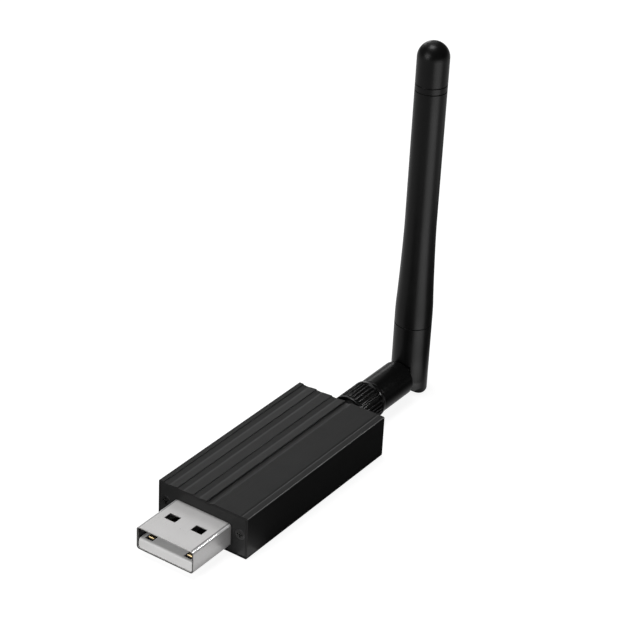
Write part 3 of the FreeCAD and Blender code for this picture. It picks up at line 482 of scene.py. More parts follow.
class NodeSheet:
    """Adds nodes to a shader or geometry tree and joins them."""

    def __init__(self, tree: bpy.types.NodeTree) -> None:
        """Takes the tree that nodes are added to."""
        self.tree = tree

    def add(self, kind: str, settings: dict | None = None, **inputs: object) -> bpy.types.Node:
        """Adds a node.

        Args:
            kind: The node's type.
            settings: Attributes of the node.
            inputs: Values or sockets for its inputs, by name with spaces as underscores.

        Returns:
            The node.
        """
        node = self.tree.nodes.new(kind)
        for name, value in (settings or {}).items():
            setattr(node, name, value)
        for name, value in inputs.items():
            self.feed(node.inputs[name.replace("_", " ")], value)
        return node

    def feed(self, socket: bpy.types.NodeSocket, value: object) -> None:
        """Joins a socket to an output, or sets its value."""
        if isinstance(value, bpy.types.NodeSocket):
            self.tree.links.new(value, socket)
        else:
            socket.default_value = value

    def maths(self, operation: str, *values: object) -> bpy.types.NodeSocket:
        """Adds a Math node.

        Args:
            operation: What it does.
            values: Its values or sockets, in order.

        Returns:
            Its output.
        """
        node = self.add("ShaderNodeMath", {"operation": operation})
        for socket, value in zip(node.inputs, values):
            self.feed(socket, value)
        return node.outputs[0]

    def spread(
        self, value: object, low: float, high: float, to_low: float, to_high: float
    ) -> bpy.types.NodeSocket:
        """Maps a value from one range to another.

        Args:
            value: The value's socket.
            low: Where the range starts.
            high: Where it stops.
            to_low: What the start becomes.
            to_high: What the stop becomes.

        Returns:
            The new value's socket.
        """
        node = self.add("ShaderNodeMapRange", Value=value, From_Min=low, From_Max=high)
        self.feed(node.inputs["To Min"], to_low)
        self.feed(node.inputs["To Max"], to_high)
        return node.outputs["Result"]

    def vector(self, **parts: object) -> bpy.types.NodeSocket:
        """Joins numbers, given as X, Y and Z, into a vector."""
        return self.add("ShaderNodeCombineXYZ", **parts).outputs["Vector"]

    def vectors(self, operation: str, first: object, second: object) -> bpy.types.NodeSocket:
        """Works out a vector from two others."""
        node = self.add("ShaderNodeVectorMath", {"operation": operation})
        self.feed(node.inputs[0], first)
        self.feed(node.inputs[1], second)
        return node.outputs["Vector"]

    def mix(self, share: object, first: object, second: object) -> bpy.types.NodeSocket:
        """Mixes two colours.

        Args:
            share: How much of the second colour.
            first: A colour or its socket.
            second: A colour or its socket.

        Returns:
            The mixed colour's socket.
        """
        node = self.add("ShaderNodeMix", {"data_type": "RGBA"})
        self.feed(node.inputs["Factor"], share)
        colours = [socket for socket in node.inputs if socket.type == "RGBA"]
        self.feed(colours[0], first)
        self.feed(colours[1], second)
        return next(socket for socket in node.outputs if socket.type == "RGBA")


class RepeatTree(NodeSheet):
    """A geometry tree that sets copies of a shape and gives them as one mesh in one finish."""

    def __init__(self, name: str, **inputs: str) -> None:
        """Opens the tree.

        Args:
            name: The tree's name.
            inputs: The kind of each thing that it takes besides Shape and Finish, by name.
        """
        super().__init__(bpy.data.node_groups.new(name, "GeometryNodeTree"))
        for label, kind in {"Shape": "Object", **inputs, "Finish": "Material"}.items():
            self.tree.interface.new_socket(label, in_out="INPUT", socket_type="NodeSocket" + kind)
        self.tree.interface.new_socket("Geometry", in_out="OUTPUT", socket_type="NodeSocketGeometry")
        self.given = self.add("NodeGroupInput").outputs
        self.shape = self.add("GeometryNodeObjectInfo", Object=self.given["Shape"]).outputs["Geometry"]

    def close(self, line: bpy.types.Node, shape: object, turn: object, join: float = 0.0) -> None:
        """Sets a copy on each point and ends the tree.

        Args:
            line: The node that gives the points.
            shape: The socket of the shape.
            turn: The socket of each copy's turn.
            join: How near vertices of two copies become one, or 0.
        """
        copies = self.add(
            "GeometryNodeInstanceOnPoints", Points=line.outputs["Mesh"], Instance=shape, Rotation=turn
        )
        real = self.add("GeometryNodeRealizeInstances", Geometry=copies.outputs["Instances"])
        if join:
            real = self.add("GeometryNodeMergeByDistance", Geometry=real.outputs["Geometry"], Distance=join)
        dressed = self.add("GeometryNodeSetMaterial", Geometry=real.outputs["Geometry"])
        self.feed(dressed.inputs["Material"], self.given["Finish"])
        self.add("NodeGroupOutput", Geometry=dressed.outputs["Geometry"])

    def run(self, **values: object) -> bpy.types.Object:
        """Runs the tree on an empty mesh.

        Args:
            values: What the tree takes, by name.

        Returns:
            The copies as a plain mesh.
        """
        holder = new_piece(self.tree.name, bmesh.new())
        modifier = holder.modifiers.new("copies", "NODES")
        modifier.node_group = self.tree
        for item in self.tree.interface.items_tree:
            if item.in_out == "INPUT":
                modifier[item.identifier] = values[item.name]
        return bake(holder)


class SurfaceEffects:
    """The shader groups that several finishes share, and the materials, each built once."""

    def __init__(self) -> None:
        """Builds the groups."""
        self.built: dict[str, bpy.types.Material] = {}
        self.grain = self.make_grain()
        self.lines = self.make_lines()
        self.inside_box = self.make_inside_box()

    @staticmethod
    def open_group(name: str, outputs: Sequence[str], **inputs: float | Corner) -> NodeSheet:
        """Starts a group.

        Args:
            name: The group's name.
            outputs: The name of each number that it gives.
            inputs: The default of each number or place that it takes, by name.

        Returns:
            A sheet for the group's tree.
        """
        tree = bpy.data.node_groups.new(name, "ShaderNodeTree")
        for label, value in inputs.items():
            kind = "NodeSocketFloat" if isinstance(value, float) else "NodeSocketVector"
            socket = tree.interface.new_socket(label, in_out="INPUT", socket_type=kind)
            socket.default_value = value
        for label in outputs:
            tree.interface.new_socket(label, in_out="OUTPUT", socket_type="NodeSocketFloat")
        return NodeSheet(tree)

    def make_grain(self) -> bpy.types.NodeTree:
        """Builds a fine grain with soft patches in it.

        Returns:
            A group that takes Size and Patch, in metres, and gives Height and Tone.
        """
        sheet = self.open_group("surface_grain", ("Height", "Tone"), Size=0.0002, Patch=0.004)
        given = sheet.add("NodeGroupInput").outputs
        place = sheet.add("ShaderNodeTexCoord").outputs["Object"]
        fine_scale = sheet.maths("DIVIDE", 1.0, given["Size"])
        fine = sheet.add("ShaderNodeTexNoise", Vector=place, Scale=fine_scale, Detail=3.0, Roughness=0.6)
        soft_scale = sheet.maths("DIVIDE", 1.0, given["Patch"])
        soft = sheet.add("ShaderNodeTexNoise", Vector=place, Scale=soft_scale, Detail=4.0, Roughness=0.55)
        soft_share = sheet.maths("MULTIPLY", soft.outputs["Fac"], 0.6)
        tone = sheet.maths("ADD", soft_share, sheet.maths("MULTIPLY", fine.outputs["Fac"], 0.4))
        sheet.add("NodeGroupOutput", Height=fine.outputs["Fac"], Tone=tone)
        return sheet.tree

    def make_lines(self) -> bpy.types.NodeTree:
        """Builds fine lines along X, as a die, a brush or a roll leaves them.

        Returns:
            A group that takes Length and Width, in metres, and gives Height.
        """
        sheet = self.open_group("drawn_lines", ("Height",), Length=0.02, Width=0.0001)
        given = sheet.add("NodeGroupInput").outputs
        place = sheet.add("ShaderNodeTexCoord").outputs["Object"]
        along = sheet.maths("DIVIDE", 1.0, given["Length"])
        across = sheet.maths("DIVIDE", 1.0, given["Width"])
        mapped = sheet.vectors("MULTIPLY", place, sheet.vector(X=along, Y=across, Z=across))
        noise = sheet.add("ShaderNodeTexNoise", Vector=mapped, Scale=1.0, Detail=2.0, Roughness=0.5)
        sheet.add("NodeGroupOutput", Height=noise.outputs["Fac"])
        return sheet.tree

    def make_inside_box(self) -> bpy.types.NodeTree:
        """Builds a mask of a box with a soft border.

        Returns:
            A group that takes Low, High and Soft, in metres, and gives Mask.
        """
        origin = (0.0, 0.0, 0.0)
        sheet = self.open_group("inside_a_box", ("Mask",), Low=origin, High=origin, Soft=0.0001)
        given = sheet.add("NodeGroupInput").outputs
        place = sheet.add("ShaderNodeTexCoord").outputs["Object"]
        shares = []
        for first, second in ((place, given["Low"]), (given["High"], place)):
            depth = sheet.add("ShaderNodeSeparateXYZ", Vector=sheet.vectors("SUBTRACT", first, second))
            shares += [sheet.maths("DIVIDE", depth.outputs[axis], given["Soft"]) for axis in "XYZ"]
        least = reduce(lambda one, other: sheet.maths("MINIMUM", one, other), shares)
        sheet.add("NodeGroupOutput", Mask=sheet.spread(least, 0.0, 1.0, 0.0, 1.0))
        return sheet.tree

    def place(self, sheet: NodeSheet, group: bpy.types.NodeTree, **values: float | Corner) -> bpy.types.Node:
        """Puts a group in a material.

        Args:
            sheet: The material's sheet.
            group: The group.
            values: Its inputs, by name.

        Returns:
            The group's node.
        """
        node = sheet.add("ShaderNodeGroup", {"node_tree": group})
        for name, value in values.items():
            node.inputs[name].default_value = value
        return node


@dataclass(frozen=True)
class Patch:
    """A box, in metres, inside which a surface has another colour.

    It paints shade where no light gets in, highlights and dark lines along edges, and a darker front rim on
    the plug.
    """

    low: Corner
    high: Corner
    soft: float
    colour: Colour

    @classmethod
    def between(cls, low: Corner, high: Corner, soft: float, colour: Colour) -> Patch:
        """Makes a patch from corners and a soft border in millimetres."""
        return cls(tuple(Vector(low) * MM), tuple(Vector(high) * MM), soft * MM, colour)


@dataclass(frozen=True)
class Finish:
    """One finish: its colours, gloss and fine relief.

    The colours are linear. Sizes of grain and lines are in metres, and depths are the relief's height.
    """

    name: str
    colour: Colour
    second_colour: Colour
    roughness: Point
    metallic: float = 0.0
    specular: float = 0.5
    grain: float = 0.0002
    grain_depth: float = 0.0
    line_length: float = 0.02
    line_width: float = 0.0001
    line_depth: float = 0.0
    transmission: float = 0.0
    patches: tuple[Patch, ...] = ()

    def material(self, effects: SurfaceEffects) -> bpy.types.Material:
        """Builds the material.

        Args:
            effects: The shared groups.

        Returns:
            The material, built once for each name.
        """
        if self.name in effects.built:
            return effects.built[self.name]
        made = bpy.data.materials.new(self.name)
        effects.built[self.name] = made
        made.use_nodes = True
        made.diffuse_color = self.colour
        made.node_tree.nodes.clear()
        sheet = NodeSheet(made.node_tree)
        shader = sheet.add("ShaderNodeBsdfPrincipled")
        sheet.add("ShaderNodeOutputMaterial", Surface=shader.outputs["BSDF"])
        grain = effects.place(sheet, effects.grain, Size=self.grain)
        tone = sheet.spread(grain.outputs["Tone"], 0.35, 0.65, 0.0, 1.0)
        height = sheet.maths("MULTIPLY", grain.outputs["Height"], self.grain_depth)
        if self.line_depth > 0:
            lines = effects.place(sheet, effects.lines, Length=self.line_length, Width=self.line_width)
            raised = sheet.maths("MULTIPLY", lines.outputs["Height"], self.line_depth)
            height = sheet.maths("ADD", height, raised)
            streaks = sheet.spread(lines.outputs["Height"], 0.3, 0.7, 0.0, 1.0)
            tone = sheet.maths("MULTIPLY", sheet.maths("ADD", tone, streaks), 0.5)
        colour = sheet.mix(tone, self.colour, self.second_colour)
        for patch in self.patches:
            spot = effects.place(sheet, effects.inside_box, Low=patch.low, High=patch.high, Soft=patch.soft)
            colour = sheet.mix(spot.outputs["Mask"], colour, patch.colour)
        sheet.feed(shader.inputs["Base Color"], colour)
        sheet.feed(shader.inputs["Roughness"], sheet.spread(tone, 0.0, 1.0, *self.roughness))
        shader.inputs["Metallic"].default_value = self.metallic
        shader.inputs["Specular IOR Level"].default_value = self.specular
        shader.inputs["Transmission Weight"].default_value = self.transmission
        if self.grain_depth > 0 or self.line_depth > 0:
            bump = sheet.add("ShaderNodeBump", Height=height, Strength=1.0, Distance=1.0)
            sheet.feed(shader.inputs["Normal"], bump.outputs["Normal"])
        return made


ANODISED = Finish(
    "charcoal_anodised", grey(0.020), grey(0.025), (0.30, 0.38), specular=0.05, grain=0.00012,
    grain_depth=0.0000015, line_length=0.03, line_width=0.00008, line_depth=0.0000012,
)
PLATE_BLACK = Finish(
    "plate_black", grey(0.018), grey(0.024), (0.30, 0.40), specular=0.12, grain=0.0001, grain_depth=0.000003
)
NICKEL = Finish(
    "plug_nickel", (0.51, 0.503, 0.50, 1.0), (0.56, 0.553, 0.55, 1.0), (0.26, 0.33), metallic=0.20,
    grain_depth=0.0000002, line_length=0.01, line_width=0.00006, line_depth=0.0000002,
)
SCREW_BLACK = Finish(
    "screw_black_zinc", grey(0.05), grey(0.09), (0.28, 0.40), metallic=1.0, grain=0.0001, grain_depth=0.000003
)
PALE_INSERT = Finish(
    "pale_insert", (0.88, 0.875, 0.865, 1.0), (0.93, 0.925, 0.915, 1.0), (0.38, 0.50), grain=0.00015,
    grain_depth=0.000003,
)
GOLD = Finish(
    "gold_flash", (0.46, 0.35, 0.18, 1.0), (0.58, 0.46, 0.26, 1.0), (0.26, 0.36), metallic=1.0,
    grain_depth=0.000002,
)
JACK_BLACK = Finish(
    "jack_black_nickel", grey(0.018), grey(0.03), (0.22, 0.32), metallic=1.0, grain=0.00012,
    grain_depth=0.000002,
)
NUT_BLACK = Finish(
    "nut_plastic", grey(0.0035), grey(0.005), (0.18, 0.24), specular=0.3, grain=0.00012, grain_depth=0.000003
)
ANTENNA_BLACK = Finish(
    "antenna_plastic", grey(0.0028), grey(0.004), (0.30, 0.36), specular=0.15, grain=0.00014,
    grain_depth=0.000003,
)
ARM_BLACK = replace(
    ANTENNA_BLACK, name="lower_arm_plastic", roughness=(0.26, 0.30), specular=0.08, grain_depth=0.0000008
)
BOARD_GREEN = Finish(
    "board_mask", (0.010, 0.060, 0.028, 1.0), (0.014, 0.082, 0.038, 1.0), (0.26, 0.38), grain_depth=0.000003
)
CAN_METAL = Finish(
    "can_tin", (0.55, 0.54, 0.52, 1.0), (0.62, 0.61, 0.59, 1.0), (0.30, 0.42), metallic=1.0,
    grain_depth=0.000003, line_depth=0.000002,
)
CHIP_BLACK = Finish("chip_resin", grey(0.018), grey(0.026), (0.52, 0.66), grain=0.0001, grain_depth=0.000004)
CHIP_TAN = Finish(
    "chip_ceramic", (0.30, 0.20, 0.11, 1.0), (0.36, 0.25, 0.14, 1.0), (0.40, 0.52), grain_depth=0.000003
)
LAMP_CLEAR = Finish(
    "lamp_clear", (0.75, 0.76, 0.70, 1.0), (0.82, 0.83, 0.78, 1.0), (0.12, 0.20), transmission=0.5,
    grain_depth=0.000001,
)
INSULATOR_WHITE = Finish(
    "insulator_white", (0.72, 0.72, 0.70, 1.0), (0.78, 0.78, 0.76, 1.0), (0.42, 0.55), grain_depth=0.000003
)
PIN_STEEL = Finish("pin_steel", grey(0.30), grey(0.38), (0.25, 0.35), metallic=1.0, grain_depth=0.000002)
CABLE_BLACK = Finish("cable_vinyl", grey(0.012), grey(0.018), (0.38, 0.50), grain_depth=0.000004)
BRASS = Finish(
    "tube_brass", (0.62, 0.43, 0.16, 1.0), (0.70, 0.50, 0.20, 1.0), (0.26, 0.38), metallic=1.0,
    grain_depth=0.000002,
)


@dataclass
class Workshop:
    """Places and dresses finished pieces."""

    effects: SurfaceEffects
    nodes: dict[str, bpy.types.Object]

    def deliver(
        self, piece: bpy.types.Object, name: str, body: Body, finish: Finish, slot: str, node: str
    ) -> None:
        """Scales a piece to metres, names, dresses and hangs it on its body.

        Args:
            piece: The piece, in millimetres.
            name: Its final name.
            body: The body that it rides on.
            finish: Its finish.
            slot: The record's material slot; not used.
            node: The node that it stands for.
        """
        piece.data.transform(Matrix.Scale(MM, 4))
        piece.name = name
        piece.data.name = name
        piece.data.materials.clear()
        piece.data.materials.append(finish.material(self.effects))
        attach(piece, body.value)
        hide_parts(node)
        LOG.info("%s: %d faces, on %s", name, len(piece.data.polygons), body.value)

    def dress(self, node: str, finish: Finish) -> None:
        """Gives a node of the frame its finish.

        Args:
            node: The node's name.
            finish: Its finish.
        """
        shown = self.nodes[node]
        material = finish.material(self.effects)
        if not shown.material_slots:
            shown.data.materials.append(material)
        for held in shown.material_slots:
            held.material = material
        LOG.info("%s keeps its shape and gets %s", node, finish.name)

    def copy_of(self, node: str) -> bpy.types.Object:
        """Copies a node's shape, in millimetres, with its loose triangles joined into faces.

        Args:
            node: The node's name.

        Returns:
            The copy.
        """
        bm = bmesh.new()
        bm.from_mesh(self.nodes[node].data)
        bmesh.ops.scale(bm, vec=(1 / MM, 1 / MM, 1 / MM), verts=bm.verts)
        bmesh.ops.remove_doubles(bm, verts=bm.verts, dist=1e-4)
        bmesh.ops.dissolve_limit(
            bm, angle_limit=math.radians(1.0), verts=bm.verts, edges=bm.edges, delimit={"NORMAL"}
        )
        return new_piece(node + "_copy", bm)


@dataclass
class Housing:
    """The extruded housing, with three ridges, a wide channel and a thin line on its top."""

    shop: Workshop
    crests: tuple[float, ...] = (1.10, 4.02, 7.45)
    fall: float = 1.10
    step: float = 0.17
    step_run: float = 0.05
    ridge_depth: float = 0.20
    rise: float = 0.45
    rise_height: float = 0.08
    channel_start: float = 10.30
    channel_width: float = 1.55
    channel_flat: float = 0.42
    channel_depth: float = 0.40
    channel_bow: float = 0.38
    line_from_right: float = 1.40
    line_width: float = 0.56
    line_depth: float = 0.07
    left_edge: float = 0.35
    right_edge: float = 0.22
    bottom_edge: float = 0.35
    crest_round: float = 0.10
    end_round: float = 0.05
    side_wall: float = 1.1
    top_wall: float = 1.3
    floor: float = 1.0
    cavity_corner: float = 0.5
    ledge: float = 0.7
    ledge_top: float = 2.15
    plate_thickness: float = 0.9
    plate_side_rim: float = 0.35
    plate_top_rim: float = 0.42
    plate_dip: float = 0.22
    plate_corner: float = 0.4
    plate_gap: float = 0.05
    screw_y: float = 7.9
    screw_z: float = 4.5
    screw_bore: float = 0.63
    screw_ring: float = 1.26
    screw_mouth: float = 0.8
    # Width and colour of the painted highlight along the housing's right top edge.
    edge_highlight_width: float = 0.16
    edge_highlight_colour: Colour = (0.13, 0.13, 0.13, 1.0)
    low: Vector = field(init=False)
    high: Vector = field(init=False)

    def __post_init__(self) -> None:
        """Reads the housing's corners from the frame."""
        self.low, self.high = node_box("housing_extrusion")

    def outline(self) -> list[Point]:
        """Gives the outer outline of the extrusion.

        Returns:
            Points as (y, z), from the left edge over the top.
        """
        top = self.high.z
        width = self.high.y - self.low.y
        corners: list[Corner] = [(0.0, top, self.left_edge)]
        for crest in self.crests:
            trough = crest + self.fall
            corners.append((crest, top, self.crest_round))
            corners.append((crest + self.step_run, top - self.step, self.step_run))
            corners.append((trough, top - self.ridge_depth, self.rise))
            corners.append((trough + self.rise, top - self.ridge_depth + self.rise_height, self.rise))
        start, end = self.channel_start, self.channel_start + self.channel_width
        flat_end = start + self.channel_flat
        bow = (flat_end + end) / 2, top - self.channel_depth * (1 - self.channel_bow)
        corners += [
            (start, top, self.crest_round),
            (start + 2 * self.step_run, top - self.channel_depth, self.step_run),
            (flat_end, top - self.channel_depth, self.channel_flat),
            (*bow, self.channel_width),
            (end, top, self.channel_flat),
        ]
        middle = width - self.line_from_right
        corners += [
            (middle - self.line_width / 2, top, self.step_run),
            (middle, top - self.line_depth, self.step_run),
            (middle + self.line_width / 2, top, self.step_run),
            (width, top, self.right_edge),
            (width, 0.0, self.bottom_edge),
            (0.0, 0.0, self.bottom_edge),
        ]
        return [(self.high.y - u, z) for u, z in rounded(corners)]

    def plate_outline(self, gap: float) -> list[Point]:
        """Gives the outline of an end plate, or of its recess.

        Args:
            gap: The space round the plate, or 0 for the recess.

        Returns:
            Points as (y, z).
        """
        side = self.plate_side_rim + gap
        top = self.high.z - self.plate_top_rim - gap
        right = self.high.y - self.low.y - side
        dip_start = self.channel_start - gap
        dip_end = self.channel_start + self.channel_flat + self.plate_dip + gap
        dip, corner = self.plate_dip, self.plate_corner
        corners = [
            (side, top, corner),
            (dip_start - dip, top, dip),
            (dip_start, top - dip, dip),
            (dip_end, top - dip, dip),
            (dip_end + 2 * dip, top, dip),
            (right, top, corner),
            (right, side, corner),
            (side, side, corner),
        ]
        return [(self.high.y - u, z) for u, z in rounded(corners)]

    def build(self) -> None:
        """Builds the extrusion, hollow and with a recess at each end."""
        front, rear = self.low.x, self.high.x
        through = (front - PAST, rear + PAST)
        body = prism("housing_body", self.outline(), (front, rear), self.end_round)
        half = self.high.y - self.side_wall
        ceiling = self.high.z - self.top_wall
        middle, reach = (self.floor + ceiling) / 2, (ceiling - self.floor) / 2
        hollow = rounded_rectangle((0.0, middle), (half, reach), self.cavity_corner)
        combine(body, "DIFFERENCE", [prism("hollow", hollow, through)])
        long = (front + self.end_round, rear - self.end_round)
        added, cuts = [], []
        for side in (1, -1):
            ledge = on_side(side, half - self.ledge, half + self.side_wall / 2)
            added.append(box(long, ledge, (self.floor / 2, self.ledge_top)))
            centre = (side * self.screw_y, self.screw_z)
            added.append(prism("ring", circle(centre, self.screw_ring, 10), long))
            cuts.append(prism("bore", circle(centre, self.screw_bore, 8), through))
            mouth = on_side(side, self.screw_y, self.screw_y - self.screw_ring - PAST)
            half_mouth = self.screw_mouth / 2
            cuts.append(box(through, mouth, (self.screw_z - half_mouth, self.screw_z + half_mouth)))
        recess = self.plate_outline(0.0)
        cuts.append(prism("recess", recess, (front - PAST, front + self.plate_thickness)))
        cuts.append(prism("recess", recess, (rear - self.plate_thickness, rear + PAST)))
        combine(body, "UNION", added)
        combine(body, "DIFFERENCE", cuts)
        shade(body)
        # Painted highlight: a paler band along the housing's right top edge, where the light catches it.
        edge_highlight = Patch.between(
            (front - PAST, self.low.y - PAST, self.high.z - self.edge_highlight_width),
            (rear + PAST, self.low.y + self.edge_highlight_width, self.high.z + PAST),
            self.edge_highlight_width / 4,
            self.edge_highlight_colour,
        )
        finish = replace(ANODISED, patches=(edge_highlight,))
        self.shop.deliver(body, "housing_body", Body.STICK, finish, "housing", "housing_extrusion")


@dataclass
class EndPlates:
    """The two end plates, set into the housing, and their four screws."""

    shop: Workshop
    housing: Housing
    axes: Axes
    edge: float = 0.05
    head_radius: float = 1.0
    head_depth: float = 0.5
    head_side: float = 0.08
    head_side_round: float = 0.03
    tip_length: float = 0.3
    tip_taper: float = 0.2
    screw_edge: float = 0.05
    cross_edge: float = 0.02
    clearance: float = 0.03
    shank_radius: float = 0.6
    screw_length: float = 5.0
    cross_length: float = 1.25
    cross_width: float = 0.3
    cross_depth: float = 0.3
    jack_hole: float = 2.45
    plug_gap: float = 0.08
    plug_corner: float = 0.68

    def screw_seat(self, face: float, outwards: int, side: int) -> bpy.types.Object:
        """Gives the shape that a countersunk hole takes out of a plate.

        Args:
            face: The X of the plate's outer face.
            outwards: 1 where that face looks along +X, -1 along -X.
            side: 1 for the hole at the left, -1 at the right.

        Returns:
            A closed shape.
        """
        wide = self.head_radius + self.clearance
        narrow = self.shank_radius + self.clearance
        inner = face - outwards * (self.housing.plate_thickness + PAST)
        profile = [
            (face + outwards * PAST, 0.0),
            (face + outwards * PAST, wide),
            (face, wide),
            (face - outwards * self.head_depth, narrow),
            (inner, narrow),
            (inner, 0.0),
        ]
        place = (side * self.housing.screw_y, self.housing.screw_z - self.axes.height)
        return self.axes.turned("seat", Turning.ALONG, profile, 48, place)

    def plate(self, name: str, face: float, outwards: int, hole: bpy.types.Object) -> bpy.types.Object:
        """Builds one plate.

        Args:
            name: The plate's name.
            face: The X of its outer face.
            outwards: 1 where that face looks along +X, -1 along -X.
            hole: What passes through it.

        Returns:
            The plate.
        """
        low, high = sorted((face, face - outwards * self.housing.plate_thickness))
        made = prism(name, self.housing.plate_outline(self.housing.plate_gap), (low, high), self.edge)
        seats = [self.screw_seat(face, outwards, side) for side in (1, -1)]
        combine(made, "DIFFERENCE", [*seats, hole])
        return shade(made)

    def screw(self) -> bpy.types.Object:
        """Builds one screw with its head's face at X = 0, looking along -X."""
        edge = self.screw_edge
        profile = rounded([
            (0.0, 0.0, 0.0),
            (0.0, self.head_radius, edge),
            (self.head_side, self.head_radius, self.head_side_round),
            (self.head_depth, self.shank_radius, edge),
            (self.screw_length - self.tip_length, self.shank_radius, edge),
            (self.screw_length, self.shank_radius - self.tip_taper, edge),
            (self.screw_length, 0.0, 0.0),
        ], 3)
        made = self.axes.turned("screw", Turning.ALONG, profile, 48, (0.0, -self.axes.height))
        long, wide = self.cross_length / 2, self.cross_width / 2
        flat = box((-PAST, self.cross_depth), (-long, long), (-wide, wide))
        tall = box((-PAST, self.cross_depth), (-wide, wide), (-long, long))
        combine(made, "DIFFERENCE", [flat, tall])
        soften(made, self.cross_edge, 1, 50.0)
        return shade(made)

    def repeat_tree(self) -> RepeatTree:
        """Builds the tree that sets a screw at each side of a plate.

        Returns:
            A tree that takes Shape, Face, Turn, Spread, Height and Finish.
        """
        tree = RepeatTree("screws_of_a_plate", Face="Float", Turn="Float", Spread="Float", Height="Float")
        given = tree.given
        right = tree.maths("MULTIPLY", given["Spread"], -1.0)
        start = tree.vector(X=given["Face"], Y=right, Z=given["Height"])
        step = tree.vector(Y=tree.maths("MULTIPLY", given["Spread"], 2.0))
        line = tree.add("GeometryNodeMeshLine", {"mode": "OFFSET"}, Count=2, Offset=step)
        tree.feed(line.inputs["Start Location"], start)
        tree.close(line, tree.shape, tree.vector(Z=given["Turn"]))
        return tree

    def build(self) -> None:
        """Builds both plates and their screws."""
        front, rear = self.housing.low.x, self.housing.high.x
        plug_low, plug_high = node_box("plug_shell")
        centre = (0.0, (plug_low.z + plug_high.z) / 2)
        half = (plug_high.y + self.plug_gap, (plug_high.z - plug_low.z) / 2 + self.plug_gap)
        plug_outline = rounded_rectangle(centre, half, self.plug_corner)
        plug_hole = prism("plug_hole", plug_outline, (front - PAST, front + 2 * PAST))
        jack_hole = self.axes.rod((rear - 2 * PAST, rear + PAST), self.jack_hole)
        tree = self.repeat_tree()
        model = self.screw()
        for end, face, outwards, hole in (("front", front, -1, plug_hole), ("rear", rear, 1, jack_hole)):
            name = end + "_end_plate"
            plate = self.plate(name, face, outwards, hole)
            self.shop.deliver(plate, name, Body.STICK, PLATE_BLACK, "plates", end + "_plate")
            screws = tree.run(
                Shape=model,
                Face=face,
                Turn=math.pi if outwards > 0 else 0.0,
                Spread=self.housing.screw_y,
                Height=self.housing.screw_z,
                Finish=SCREW_BLACK.material(self.shop.effects),
            )
            self.shop.deliver(
                screws, end + "_screws", Body.STICK, SCREW_BLACK, "screws", end + "_plate_screws"
            )
        remove(model)


@dataclass(frozen=True)
class BendLine:
    """A line of light or shade along a bend of the plug's sheet.

    It is given by how far it lies in from the side, and how far it reaches down from the top.
    """

    near: float
    far: float
    drop: float
    colour: Colour


